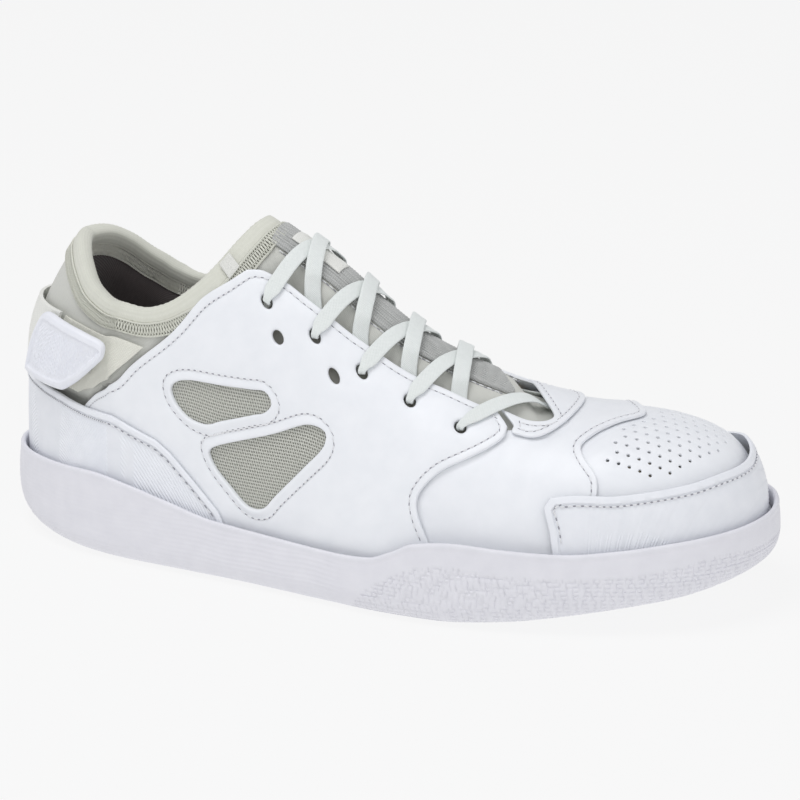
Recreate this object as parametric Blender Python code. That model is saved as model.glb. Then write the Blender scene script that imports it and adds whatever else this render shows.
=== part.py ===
# Cheer shoe, right foot, built in millimetres and written out in metres.
# +X toe, -Y outer (lateral) side, +Z up.  Every shell of the upper is a panel drawn
# on one flat pattern that is wrapped over the last and given two offsets.
import bpy
import numpy as np
from math import pi
from mathutils import Vector
from mathutils.geometry import delaunay_2d_cdt

for o in list(bpy.data.objects):
    bpy.data.objects.remove(o, do_unlink=True)

# driving sizes, mm
MM = 0.001
LEATHER = 1.2         # thickness of the quarters
VAMP = 1.1            # thickness of the vamp
EYELET = 2.3          # radius of a lace hole
LACE_WIDTH = 5.8      # the flat lace where it lies open
LACE_THICK = .85
BAND = 1.2            # thickness of the heel strap's webbing
TAB = 1.65            # thickness of the moulded strap tab
SOCK = 3.2            # thickness of the sockliner at its edge
RIB = 10.5            # half width of the ribbed tongue panel
BINDING = 4.9         # width of the collar binding on the pattern
GRID = 10.0           # triangle size on the pattern

# ---------------------------------------------------------------- small maths
def spline(P, n=8, closed=True):
    P = np.asarray(P, float); N = len(P); out = []
    for i in range(N if closed else N - 1):
        p1, p2 = P[i], P[(i + 1) % N]
        p0 = P[i - 1] if closed or i else 2 * p1 - p2
        p3 = P[(i + 2) % N] if closed or i + 2 < N else 2 * p2 - p1
        t1 = max(np.linalg.norm(p1 - p0), 1e-3) ** .5; t2 = t1 + max(np.linalg.norm(p2 - p1), 1e-3) ** .5
        t3 = t2 + max(np.linalg.norm(p3 - p2), 1e-3) ** .5
        for k in range(n):
            t = t1 + (t2 - t1) * k / n
            a1 = (t1 - t) / t1 * p0 + t / t1 * p1
            a2 = (t2 - t) / (t2 - t1) * p1 + (t - t1) / (t2 - t1) * p2
            a3 = (t3 - t) / (t3 - t2) * p2 + (t - t2) / (t3 - t2) * p3
            b1 = (t2 - t) / t2 * a1 + t / t2 * a2
            b2 = (t3 - t) / (t3 - t1) * a2 + (t - t1) / (t3 - t1) * a3
            out.append((t2 - t) / (t2 - t1) * b1 + (t - t1) / (t2 - t1) * b2)
    if not closed: out.append(P[-1])
    return np.array(out)

def curve(pts):
    P = np.asarray(pts, float); x, y = P[:, 0], P[:, 1]; d = np.diff(y) / np.diff(x)
    m = np.zeros(len(x)); m[0], m[-1] = d[0], d[-1]
    for i in range(1, len(x) - 1):
        if d[i - 1] * d[i] > 0:
            h0, h1 = x[i] - x[i - 1], x[i + 1] - x[i]
            m[i] = 3 * (h0 + h1) / ((2 * h1 + h0) / d[i - 1] + (h1 + 2 * h0) / d[i])
    def f(v):
        v = np.clip(np.asarray(v, float), x[0], x[-1])
        i = np.clip(np.searchsorted(x, v) - 1, 0, len(x) - 2); h = x[i + 1] - x[i]; t = (v - x[i]) / h
        return ((1 + 2 * t) * (1 - t) ** 2 * y[i] + t * (1 - t) ** 2 * h * m[i]
                + t * t * (3 - 2 * t) * y[i + 1] + t * t * (t - 1) * h * m[i + 1])
    return f

def step(a, b, x):
    t = np.clip((np.asarray(x, float) - a) / (b - a), 0, 1); return t * t * (3 - 2 * t)

def offset(P, o):
    P = np.asarray(P, float); t = np.roll(P, -1, 0) - np.roll(P, 1, 0)
    n = np.stack([t[:, 1], -t[:, 0]], -1); n /= np.linalg.norm(n, axis=1)[:, None]
    x, y = P[:, 0], P[:, 1]; A = (x * np.roll(y, -1) - y * np.roll(x, -1)).sum()
    return P + n * (o if A > 0 else -o)

def resample(P, h, closed=True):
    P = np.asarray(P, float); Q = np.vstack([P, P[:1]]) if closed else P
    s = np.concatenate([[0], np.cumsum(np.linalg.norm(np.diff(Q, axis=0), axis=1))])
    n = max(6 if closed else 2, int(round(s[-1] / h)))
    t = np.linspace(0, s[-1], n + 1)[:n] if closed else np.linspace(0, s[-1], n + 1)
    return np.stack([np.interp(t, s, Q[:, k]) for k in range(Q.shape[1])], -1)

def inside(P, x, y):
    P = np.asarray(P); x = np.asarray(x); y = np.asarray(y); r = np.zeros(x.shape, bool); j = len(P) - 1
    for i in range(len(P)):
        xi, yi, xj, yj = *P[i], *P[j]
        r ^= ((yi > y) != (yj > y)) & (x < (xj - xi) * (y - yi) / (yj - yi + 1e-12) + xi); j = i
    return r

def near(P, x, y):
    P = np.asarray(P); Q = np.roll(P, -1, 0); p = np.stack([x, y], -1)[:, None]
    e = (Q - P)[None]; t = np.clip(((p - P[None]) * e).sum(-1) / ((e ** 2).sum(-1) + 1e-12), 0, 1)
    return np.linalg.norm(p - P[None] - e * t[..., None], axis=-1).min(1)

# ---------------------------------------------------------------- the last
SOLE = spline([(-3, 0), (2, -14), (14, -27), (32, -36.5), (55, -41), (80, -43.5), (105, -46), (135, -50.5),
  (162, -54), (190, -53.5), (212, -50), (232, -44), (250, -36.5), (266, -26), (278, -11), (283, 6),
  (281, 23), (273, 38), (257, 47.5), (235, 51.5), (208, 51), (180, 47), (150, 42), (120, 38), (90, 36.5),
  (60, 38.5), (35, 37), (14, 28.5), (2, 15)])
FEATHER = offset(SOLE, -5.0)
HX, TX = 50., 230.
SPY = curve([(0, -.5), (50, -.5), (100, -3), (150, -4), (190, -1), (230, 7), (285, 7.01)])
RIDGE = curve([(0, 127), (15, 130), (35, 139), (50, 146), (75, 139), (96, 125.5), (110, 117.5), (127, 107.5), (141, 96.5),
  (157, 86), (174, 78.5), (189, 73), (203, 69), (218, 66.5), (235, 65.5), (285, 64)])
BASE = curve([(0, 18), (30, 14), (55, 13), (180, 12), (205, 14), (230, 17), (250, 20), (285, 26)])
EN = curve([(0, 2.6), (35, 2.5), (60, 2.1), (150, 2.0), (200, 2.3), (235, 2.8), (285, 3.1)])
EM = curve([(0, 2.9), (35, 2.6), (60, 1.85), (150, 1.8), (200, 2.1), (235, 2.6), (285, 2.9)])
GROUND = curve([(-3, 10), (8, 5), (30, 1.5), (55, 0), (180, 0), (205, 2), (225, 5), (245, 8.5), (265, 12), (285, 17)])
RIM = curve([(-3, 30.5), (20, 32), (42, 32.5), (60, 30), (76, 26.5), (95, 22.5), (120, 21), (145, 20.2), (157, 21),
  (166, 24.5), (174, 28.5), (190, 30.5), (205, 29.8), (225, 29.2), (243, 30.8), (260, 33), (275, 34.5), (290, 36)])

def fan(cx, cy):
    d = FEATHER - np.array([cx, cy]); a = np.arctan2(d[:, 1], d[:, 0]); o = np.argsort(a)
    return a[o], np.hypot(d[:, 0], d[:, 1])[o]
FT, FH = fan(TX, SPY(TX)), fan(HX, SPY(HX))
def reach(F, a): return np.interp((a + pi) % (2 * pi) - pi, F[0], F[1], period=2 * pi)
lat = FEATHER[FEATHER[:, 1] < -8]; lat = lat[np.argsort(lat[:, 0])]
med = FEATHER[FEATHER[:, 1] > 20]; med = med[np.argsort(med[:, 0])]
NF, NS = 60, 180
rows = np.array([(HX, -pi + pi / 2 * k / NF) for k in range(NF)] + [(HX + (TX - HX) * k / NS, -pi / 2) for k in range(NS)]
  + [(TX, -pi / 2 + pi * k / (2 * NF)) for k in range(2 * NF)] + [(TX - (TX - HX) * k / NS, pi / 2) for k in range(NS)]
  + [(HX, pi / 2 + pi / 2 * k / NF) for k in range(NF)])
NR = len(rows); sx, sa = rows[:, 0], rows[:, 1]; sy = SPY(sx)
D = np.where(sx >= TX - 1e-9, reach(FT, sa), np.where(sx <= HX + 1e-9, reach(FH, sa),
    np.where(sa < 0, sy - np.interp(sx, lat[:, 0], lat[:, 1]), np.interp(sx, med[:, 0], med[:, 1]) - sy)))
rho = np.sin(np.linspace(0, 1, 220) * pi / 2)
PX = sx[:, None] + rho * D[:, None] * np.cos(sa)[:, None]; PY = sy[:, None] + rho * D[:, None] * np.sin(sa)[:, None]
ZB = BASE(sx + D * np.cos(sa))[:, None]
PZ = ZB + (RIDGE(PX) - ZB) * (1 - rho ** EN(PX)) ** (1 / EM(PX))
ARC = np.concatenate([np.zeros((NR, 1)), np.cumsum(np.sqrt(np.diff(PX) ** 2 + np.diff(PY) ** 2 + np.diff(PZ) ** 2), 1)], 1)
GMAX = ARC[:, -1]; NG = int(GMAX.max()) + 14
T = np.zeros((NR, NG, 3))
for i in range(NR):
    for c, A in enumerate((PX, PY, PZ)): T[i, :, c] = np.interp(np.arange(NG), ARC[i], A[i])
    over = np.arange(NG) - GMAX[i]; T[i, :, 2] -= np.maximum(over, 0)     # straight down below the feather edge
T[..., 0] += 8 * step(70, 115, T[..., 2]) * step(85, 35, T[..., 0])     # the back of the collar leans forward

def row_of(X, Y):
    at, ah = np.arctan2(Y - SPY(TX), X - TX), np.arctan2(Y - SPY(HX), X - HX); yy = Y - SPY(np.clip(X, HX, TX))
    r = np.where(X > TX, NF + NS + (at + pi / 2) / pi * 2 * NF,
        np.where(X < HX, np.where(ah < 0, (ah + pi) / (pi / 2) * NF, 3 * NF + 2 * NS + (ah - pi / 2) / (pi / 2) * NF),
        np.where(yy < 0, NF + (X - HX), 3 * NF + NS + (TX - X))))
    g = np.where(X > TX, np.hypot(X - TX, Y - SPY(TX)), np.where(X < HX, np.hypot(X - HX, Y - SPY(HX)), abs(yy)))
    return r % NR, g
def flat(r, g):
    """pattern point of row r at girth g"""
    i = np.floor(r).astype(int) % NR; f = r - np.floor(r); a = sa[i] + f * np.where((i < NF) | (i >= 3 * NF + 2 * NS) | ((i >= NF + NS) & (i < 3 * NF + NS)), pi / 2 / NF, 0)
    x = sx[i] + f * np.where((i >= NF) & (i < NF + NS), 1., np.where((i >= 3 * NF + NS) & (i < 3 * NF + 2 * NS), -1., 0.))
    return np.stack([x + g * np.cos(a), SPY(x) + g * np.sin(a)], -1)
def surf(X, Y):
    r, g = row_of(X, Y); i = np.floor(r).astype(int) % NR; k = (i + 1) % NR; f = (r - np.floor(r))[..., None]
    j = np.clip(g.astype(int), 0, NG - 2); h = (g - j)[..., None]
    return (T[i, j] * (1 - f) + T[k, j] * f) * (1 - h) + (T[i, j + 1] * (1 - f) + T[k, j + 1] * f) * h
def wrap(XY, t):
    X, Y = XY[..., 0], XY[..., 1]; e = 1.5
    n = np.cross(surf(X + e, Y) - surf(X - e, Y), surf(X, Y + e) - surf(X, Y - e)); n /= np.linalg.norm(n, axis=-1)[..., None]
    return surf(X, Y) + n * np.broadcast_to(t, X.shape)[..., None]
def at_z(r, z):
    """pattern points on rows r at heights z"""
    r = np.asarray(r, float); g = [np.interp(-zz, -PZ[int(rr) % NR], ARC[int(rr) % NR]) for rr, zz in zip(r, np.broadcast_to(z, r.shape))]
    return flat(r, np.array(g))
def hem(r0, r1, up=3.5, h=9):
    """edge tucked into the sole, between two rows"""
    n = max(2, int(abs(r1 - r0) / h * .8) + 1); r = np.linspace(r0, r1, n); i = np.round(r).astype(int) % NR
    return flat(r, GMAX[i] - up)
def side(m, P):
    """the same pattern points on the other side of the shoe when m is +1"""
    P = np.array(P, float)
    if m > 0: P[:, 1] = 2 * SPY(np.clip(P[:, 0], HX, TX)) - P[:, 1]
    return P
def heel(deg): return NF * (180 - abs(deg)) / 90. if deg < 0 else NR - NF * (180 - deg) / 90.   # row at an angle behind the heel
def latx(x): return NF + (x - HX)
def medx(x): return 3 * NF + NS + (TX - x)

# ---------------------------------------------------------------- solids
RS = resample(SOLE, 10)
ORIGIN = (float(RS[:, 0].min() + RS[:, 0].max()) / 2, float(RS[:, 1].min() + RS[:, 1].max()) / 2, 0.)   # middle of the sole on the ground
MOVING = ('tab_shell', 'tab_webbing', 'hook_pad')
PIVOT = (11.82, -23.04, 62.35)          # foot of the strap tab's hinge line
FINISH = {  # colour, roughness, the nodes it is on
    'white_leather': ((.86, .88, .92), .45, ('quarter_lateral', 'quarter_medial', 'vamp', 'throat_overlay', 'toe_panel')),
    'embossed_overlay': ((.84, .86, .90), .5, ('toe_overlay', 'heel_overlay')),
    'moulded_tab': ((.84, .86, .89), .4, ('tab_shell',)),
    'sole_rubber': ((.78, .78, .84), .55, ('outsole',)),
    'foam': ((.80, .80, .78), .8, ('midsole_insert', 'sockliner')),
    'fibre_board': ((.55, .50, .42), .8, ('lasting_board', 'heel_counter', 'toe_puff')),
    'neoprene': ((.64, .65, .61), .8, ('bootie',)),
    'binding': ((.72, .73, .67), .7, ('collar_binding',)),
    'lining_knit': ((.10, .08, .08), .9, ('lining',)),
    'window_mesh': ((.58, .59, .57), .7, ('mesh_lateral', 'mesh_medial')),
    'rib_knit': ((.55, .58, .59), .8, ('tongue_rib_panel',)),
    'backer': ((.7, .7, .7), .8, ('eyestay_backer_lateral', 'eyestay_backer_medial')),
    'webbing': ((.87, .87, .84), .7, ('strap_band', 'strap_patch', 'strap_base', 'tab_webbing', 'anchor_loop_lateral', 'anchor_loop_medial', 'lace_keeper')),
    'hook_and_loop': ((.82, .83, .80), .9, ('hook_pad', 'loop_pad')),
    'lace_cord': ((.80, .85, .86), .7, ('lace',)),
    'aglet_film': ((.85, .88, .90), .3, ('aglet_lateral', 'aglet_medial'))}
def finish(node):
    slot = [k for k, v in FINISH.items() if node in v[2]][0]; m = bpy.data.materials.get(slot)
    if m is None:
        m = bpy.data.materials.new(slot); m.use_nodes = True; b = m.node_tree.nodes['Principled BSDF']
        b.inputs['Base Color'].default_value = (*FINISH[slot][0], 1); b.inputs['Roughness'].default_value = FINISH[slot][1]; b.inputs['Metallic'].default_value = 0
    return m

def solid(name, V, F):
    V = np.asarray(V, float); v = V - V.mean(0)
    vol = sum(np.dot(v[a], np.cross(v[b], v[c])) for a, b, c in F)
    if vol < 0: F = [(a, c, b) for a, b, c in F]
    pivot = np.array(PIVOT if name in MOVING else ORIGIN)              # a moving piece has its origin on the hinge
    me = bpy.data.meshes.new(name); me.from_pydata([tuple((p - pivot) * MM) for p in V], [], [tuple(map(int, f)) for f in F])
    me.update(); me.shade_smooth(); me.set_sharp_from_angle(angle=.6)
    ob = bpy.data.objects.new(name, me); bpy.context.collection.objects.link(ob)
    ob.location = (pivot - np.array(ORIGIN)) * MM
    me.materials.append(finish(name)); return ob

def triangulate(loops, grid):
    pts = []; edges = []
    for L in loops:
        b = len(pts); pts += [tuple(p) for p in L]; edges += [(b + i, b + (i + 1) % len(L)) for i in range(len(L))]
    O = np.asarray(loops[0])
    if grid:
        gx, gy = np.meshgrid(np.arange(-130, 340, grid), np.arange(-140, 150, grid * .866))
        gx = gx + (np.arange(gx.shape[0]) % 2)[:, None] * grid / 2; gx, gy = gx.ravel(), gy.ravel()
        ok = inside(O, gx, gy)
        for H in loops[1:]: ok &= ~inside(H, gx, gy)
        gx, gy = gx[ok], gy[ok]
        if len(gx):
            d = np.min([near(L, gx, gy) for L in loops], 0); keep = d > grid * .45
            pts += list(zip(gx[keep], gy[keep]))
    r = delaunay_2d_cdt([Vector(p) for p in pts], edges, [], 0, 1e-6)
    P = np.array([tuple(v) for v in r[0]]); F = [tuple(f) for f in r[2] if len(f) == 3]
    C = np.array([P[list(f)].mean(0) for f in F]); ok = inside(O, C[:, 0], C[:, 1])
    for H in loops[1:]: ok &= ~inside(H, C[:, 0], C[:, 1])
    F = [f for f, k in zip(F, ok) if k]; used = sorted({i for f in F for i in f}); idx = {u: i for i, u in enumerate(used)}
    return P[used], [tuple(idx[i] for i in f) for f in F]

def thick(name, P, F, top, bot):
    n = len(P); E = {}
    for f in F:
        for a, b in zip(f, f[1:] + f[:1]): E[(a, b)] = 1
    FF = [tuple(f) for f in F] + [tuple(i + n for i in f[::-1]) for f in F]
    for a, b in E:
        if (b, a) not in E: FF += [(b, a, a + n), (b, a + n, b + n)]
    return solid(name, np.vstack([top, bot]), FF)

def panel(name, outline, top, bot, holes=(), grid=GRID, edge=7.0):
    loops = [resample(outline, edge)] + [np.asarray(h) for h in holes]
    P, F = triangulate(loops, grid)
    f = lambda t: t(P[:, 0], P[:, 1]) if callable(t) else t
    return thick(name, P, F, wrap(P, f(top)), wrap(P, f(bot)))

def ring(c, r, n=8):
    a = np.arange(n) * 2 * pi / n; return np.stack([c[0] + r * np.cos(a), c[1] + r * np.sin(a)], -1)

# ---------------------------------------------------------------- heights of the layers over the last
def fold(X, Y): return abs(Y - SPY(np.clip(X, HX, TX)))
def behind(X, Y):
    """mm behind the quarter's rear edge (positive towards the heel)"""
    y = fold(X, Y); edge = np.interp(y, [20, 32, 44, 62, 81, 93.8, 97, 99], [104, 94, 85, 75, 59, 50, 31, 12]); return edge - X
def zmm(X, Y): return surf(X, Y)[..., 2]
def bootie_out(X, Y):
    y = fold(X, Y); z = zmm(X, Y)
    t = -5.2 + 3.3 * step(-8, 1, behind(X, Y))                                # proud again behind the quarter
    t = t + 1.1 * step(14, 26, behind(X, Y)) * step(55, 62, z)                # padded heel above the counter
    t = np.where(X < 75, np.minimum(t, -4.6 + 3.8 * step(52, 62, z)), t)      # room for the heel counter
    throat = step(21, 10, y) * step(92, 104, X) * step(209, 200, X + .64 * (Y + 14))
    return np.maximum(t, -5.2 + 4.0 * throat) - .5 * step(222, 236, X)
def rib_bot(X, Y): return bootie_out(X, Y) + .8
def rib_top(X, Y): return bootie_out(X, Y) + 1.3
def vamp_top(X, Y): return -1.7 + 1.3 * step(212, 236, X)
def vamp_bot(X, Y): return vamp_top(X, Y) - VAMP

# ---------------------------------------------------------------- sole unit
def level(o, z): return np.c_[offset(SOLE, o)[np.array([np.argmin(np.hypot(*(SOLE - p).T)) for p in RS])], np.zeros(len(RS))] + np.c_[np.zeros((len(RS), 2)), z]
def sole_levels(prof):
    out = []
    for o, base, k in prof:
        Q = level(o, np.zeros(len(RS))); x = Q[:, 0]; g, r = GROUND(x), RIM(x)
        z = {'g': g + k, 'r': r + k, 'm': g + (r - g) * k, 'b': BASE(x) + k}[base]; Q[:, 2] = z; out.append(Q)
    return out
def loft(name, prof, topz, botz, grid=17):
    L = sole_levels(prof); n = len(RS); V = list(np.vstack(L)); F = []
    for k in range(len(L) - 1):
        for i in range(n):
            a, b, c, d = k * n + i, k * n + (i + 1) % n, (k + 1) * n + (i + 1) % n, (k + 1) * n + i; F += [(a, b, c), (a, c, d)]
    for k, zf, flip in ((0, botz, True), (len(L) - 1, topz, False)):
        P, C = triangulate([L[k][:, :2]], grid); m = []
        for p in P:
            d = np.hypot(L[k][:, 0] - p[0], L[k][:, 1] - p[1]); j = int(d.argmin())
            if d[j] < 1e-4: m.append(k * n + j)
            else: m.append(len(V)); V.append(np.array([p[0], p[1], float(zf(p[0]))]))
        F += [tuple(m[i] for i in (f[::-1] if flip else f)) for f in C]
    return solid(name, V, F)
loft('outsole', [(-8, 'g', 0), (-4.5, 'g', .7), (-1.6, 'g', 2.6), (-.3, 'g', 6), (0, 'm', .42), (-.3, 'm', .72), (-.7, 'r', -1.2),
  (-1.3, 'r', -.2), (-2.2, 'r', 0), (-2.7, 'r', -.9), (-2.8, 'b', -4), (-4.2, 'g', 4.6)], lambda x: GROUND(x) + 4.6, GROUND)
loft('midsole_insert', [(-7, 'g', 5.6), (-6, 'g', 6.2), (-6, 'b', -3.2), (-7, 'b', -2.6)], lambda x: BASE(x) - 2.6, lambda x: GROUND(x) + 5.6)
loft('lasting_board', [(-6, 'b', -2.1), (-6, 'b', -.6)], lambda x: BASE(x) - .6, lambda x: BASE(x) - 2.1)
loft('sockliner', [(-15.5, 'b', .2), (-14.3, 'b', 1.2), (-14.1, 'b', SOCK + .4), (-15, 'b', SOCK + 1.2)], lambda x: BASE(x) + SOCK + 1.2, lambda x: BASE(x) + .2)

# ---------------------------------------------------------------- bootie, lining and collar
top_rows = [heel(-180 + .01), heel(-160), heel(-140), heel(-120), heel(-100), latx(57), latx(66), latx(75), latx(82), latx(88), latx(93), latx(96.5)]
top_z = [111.5, 110, 105, 98.5, 94, 92, 93.5, 98, 103.5, 110, 117, 122]
half = at_z(top_rows, top_z)
other = half.copy(); other[:, 1] = 2 * SPY(np.clip(other[:, 0], HX, TX)) - other[:, 1]
TOPLINE = spline(np.vstack([half, [(98.5, SPY(98.5))], other[:0:-1]]), 6)
mouth = resample(offset(TOPLINE, 5.4), 8)
def inner(X, Y): return np.minimum(bootie_out(X, Y) - 1.6, -7 + 3 * step(16, 5, near(TOPLINE, X, Y)))      # thins to the rim
panel('bootie', hem(0, NR - 8, up=2.0, h=8), bootie_out, inner, [mouth], grid=12, edge=8)
panel('lining', np.vstack([hem(medx(168), NR + latx(168), up=2.0, h=9), [(168, y) for y in np.linspace(-85, 78, 18)]]), lambda X, Y: inner(X, Y) - .9, lambda X, Y: inner(X, Y) - 1.6, [mouth], grid=12, edge=8)
panel('collar_binding', resample(offset(TOPLINE, BINDING), 7), lambda X, Y: bootie_out(X, Y) + .5, -5.9, [resample(TOPLINE, 7)], grid=0)
spine = lambda x0, x1, w0, w1, n=9: np.vstack([[(x, SPY(x) - (w0 + (w1 - w0) * (x - x0) / (x1 - x0))) for x in np.linspace(x0, x1, n)],
                                            [(x, SPY(x) + (w0 + (w1 - w0) * (x - x0) / (x1 - x0))) for x in np.linspace(x1, x0, n)]])
rib = spine(105, 194, RIB, RIB - 2); rib = np.vstack([[p for p in rib if p[0] + .64 * (p[1] + 14) < 198], ])
panel('tongue_rib_panel', rib, rib_top, rib_bot, grid=5, edge=5)
panel('lace_keeper', spine(110, 128, 4.5, 4.5, 4), lambda X, Y: rib_top(X, Y) + 1.1, lambda X, Y: rib_top(X, Y) + .65, edge=5)

# ---------------------------------------------------------------- leather and mesh
THROAT_L = [(99, -28), (104, -25), (108, -24.2), (114, -23.6), (121, -24.4), (129, -24.6), (137, -24), (147, -23), (163, -22.5), (173, -21.4), (186, -21), (192, -20.6)]
Q_REAR = [(12, -99.5), (31, -97.5), (50, -94.3), (59, -84), (75, -65), (85, -47.5), (94, -35)]
Q_FRONT = [(197, -24.6), (197, -29), (193, -35.6), (187, -42), (179, -50), (174, -57.5), (172, -63), (173, -68), (178, -76)]
WIN_UP = [(75, -86), (76.5, -83), (92, -73), (106, -66), (112, -63.4), (114.5, -65.5), (112.5, -70), (107, -74.4), (95, -84), (89, -89.5), (82, -92), (77, -90)]
WIN_LO = [(91, -98), (93, -94.5), (117, -74.8), (131, -62.8), (136, -61.4), (136, -65.5), (129, -79), (118, -96.5), (113, -104), (107, -107), (100, -104.5), (93, -101)]
EYELETS = [(108, -34), (127, -34.5), (145, -33), (163, -32), (182, -32.5)]
SPARE = [(114, -43), (136, -41.5)]
OPEN_END = [(192, -18.6), (203, -18.4), (208, -15.6), (209.5, -12), (205, -5), (199, 3), (194.5, 9.5), (190.5, 14.5)]
for tag, m in (('lateral', -1), ('medial', 1)):
    r0, r1 = (latx(24), latx(181)) if m < 0 else (medx(24), medx(181))
    out = np.vstack([side(m, Q_REAR), side(m, THROAT_L), side(m, Q_FRONT), hem(r1, r0)])
    holes = [resample(spline(side(m, W), 3), 7) for W in (WIN_UP, WIN_LO)] + [ring(side(m, [c])[0], EYELET) for c in EYELETS + SPARE]
    panel('quarter_' + tag, out, 0., -LEATHER, holes, edge=7)
    # fine mesh behind both windows, and the reinforcing strip behind the eyelets
    mesh = [(68, -84), (76, -76), (92, -66), (108, -57.5), (118, -55.5), (137, -55), (143, -60), (142, -70), (135, -86), (124, -104), (112, -113.5), (96, -112.5), (84, -104), (72, -95)]
    panel('mesh_' + tag, spline(side(m, mesh), 3), -1.9, -2.6)
    strip = [(102, -30), (108, -28), (127, -28), (145, -26.5), (163, -26), (182, -26), (186.5, -28), (186.5, -35), (180, -38.5), (163, -38.5), (146, -48), (130, -49.5), (112, -50), (103, -41)]
    panel('eyestay_backer_' + tag, side(m, strip), -1.9, -2.6, [ring(side(m, [c])[0], 3.0) for c in EYELETS + SPARE], edge=6)
panel('throat_overlay', np.vstack([np.array(OPEN_END), [(193.5, 17), (198.6, 21.5), (199.6, 25.4)],
  [(207, 20), (212.5, 12), (214.5, 1), (213.8, -12), (210.5, -20.5), (206, -25), (198.8, -26.2), (198.8, -23), (194, -19.6)]]), -.2, -1.0, edge=5)
v_rear = [(171, -68), (169.5, -60), (173, -54), (182, -45), (190, -37.5), (193.3, -30)]
panel('vamp', np.vstack([hem(latx(176), latx(176) - 1), v_rear, [(197.5, -24.5), (203, -22.3), (209.5, -19.5), (212.4, -12.5), (207.8, -3.5), (202, 4.8), (197.5, 11.5), (194, 16.5), (197, 22)],
  side(1, v_rear[::-1]), hem(medx(175), medx(226)), side(1, [(227, -62), (232, -50), (232, -35), (225, -27), (222.4, -22), (225, -14), (230, -4.5)]), [(236, 7)],
  [(230, -4.5), (225, -14), (222.4, -22), (225, -27), (232, -35), (232, -50), (227, -62)], hem(latx(226), latx(176), h=9)[:-1]]), vamp_top, vamp_bot, edge=6.5)
toe_edge = [(218, -44.6), (225, -42), (240, -38), (254, -30), (263.5, -21.5), (269.5, -12.5), (274, -2)]
mir = lambda P: [(x, 14 - y) if x > TX else (x, float(2 * SPY(x) - y)) for x, y in P]
ring_t = toe_edge + [(275.4, 7)] + mir(toe_edge)[::-1]
panel('toe_panel', spline(np.vstack([[(216, -20), (219, -34), (228, -44), (241, -44), (257, -35.5), (268, -25), (275, -14), (279.5, -2), (281, 7)],
  mir([(216, -20), (219, -34), (228, -44), (241, -44), (257, -35.5), (268, -25), (275, -14), (279.5, -2)])[::-1], [(228, 8)]]), 3), lambda X, Y: vamp_top(X, Y) - 1.65, lambda X, Y: vamp_top(X, Y) - 2.6)
panel('toe_overlay', np.vstack([ring_t, side(1, [(216, -48.5), (219, -56)]), hem(medx(222), latx(222), h=8), [(219, -56), (216, -48.5)]]), 1.5, .4, edge=6)
def sz(pts):
    """pattern points along straight runs of (row, height)"""
    out = []
    for (r0, z0), (r1, z1) in zip(pts[:-1], pts[1:]):
        n = max(1, int(abs(r1 - r0) / 6))
        out += [(r0 + (r1 - r0) * k / n, z0 + (z1 - z0) * k / n) for k in range(n)]
    out.append(pts[-1]); return at_z([r for r, z in out], [z for r, z in out])
def both(pts):
    """the same line round the heel, medial end first"""
    return sz([(-r, z) for r, z in pts[::-1]] + list(pts))
panel('heel_overlay', np.vstack([both([(heel(-179.9), 59.5), (heel(-150), 59), (heel(-125), 57), (heel(-105), 54.5), (latx(52), 53), (latx(60), 50), (latx(70), 46.8), (latx(76), 43), (latx(86), 34), (latx(96), 24.5)]),
  hem(latx(100), -latx(100), h=9)]), 1.7, .6, edge=8)
panel('heel_counter', np.vstack([both([(heel(-179.9), 47), (heel(-140), 46.5), (heel(-110), 45), (latx(52), 42.5), (latx(60), 34)]), hem(latx(62), -latx(62), h=10)]), -1.9, -3.1, edge=9)
tp = [(236, -50), (250, -44), (262, -35), (271, -24), (278, -10), (280.5, 7)]
panel('toe_puff', spline(np.vstack([[(238, -30)], tp, mir(tp[:-1])[::-1], [(238, 44), (246, 7)]]), 3), -3.6, -4.3)

# ---------------------------------------------------------------- heel strap: band, base, pads and the lifting tab
def bandof(name, r0, r1, z0, z1, top, bot): panel(name, np.vstack([sz([(r0, z0), (r1, z0)]), sz([(r1, z1), (r0, z1)])]), top, bot, edge=7)
HINGE = [(heel(-151.4), 62), (heel(-141.6), 86)]          # the tab's stitched edge, foot and top
bandof('strap_band', -(NF - 4), heel(-134), 62.5, 86, .9 + BAND, .9)
bandof('strap_patch', -(NF - 8), -(NF - 24), 65, 84, .5, -.2)
panel('strap_base', np.vstack([sz([(heel(-132), 61.3), (heel(-112), 59.2)]), [(31, -94.8), (49, -92.4), (58, -82.6), (63, -76.5)], sz([(heel(-95), 81), (heel(-115), 83.5), (heel(-132), 85)])]), .5, -.2, edge=6)
bandof('loop_pad', heel(-130), heel(-102), 67, 77, 1.4, .9)
panel('hook_pad', sz([(heel(-130), 66.5), (heel(-118), 66.5), (heel(-104), 76), (heel(-130), 77)]), 2.25, 1.75, edge=6)
panel('tab_webbing', sz([(heel(-150.8), 62.5), (heel(-140), 62), (heel(-120), 61.5), (heel(-109), 66), (heel(-94), 74), (heel(-94), 77.5), (heel(-125), 82), (heel(-139), 83), (heel(-142), 83.4)]), 3.5, 2.6, edge=6)
TAB_LINE = [(heel(-151.4), 61.3), (heel(-140), 60.3), (heel(-128), 59.8), (heel(-118), 59.8), (heel(-108), 64), (heel(-98), 69.5), (heel(-90), 74), (heel(-89.5), 78.5), (heel(-95), 80.3), (heel(-110), 82.5), (heel(-125), 84), (heel(-136), 85), (heel(-141.8), 84.7)]
panel('tab_shell', sz(TAB_LINE), 3.95 + TAB, 3.95, edge=6)
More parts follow.
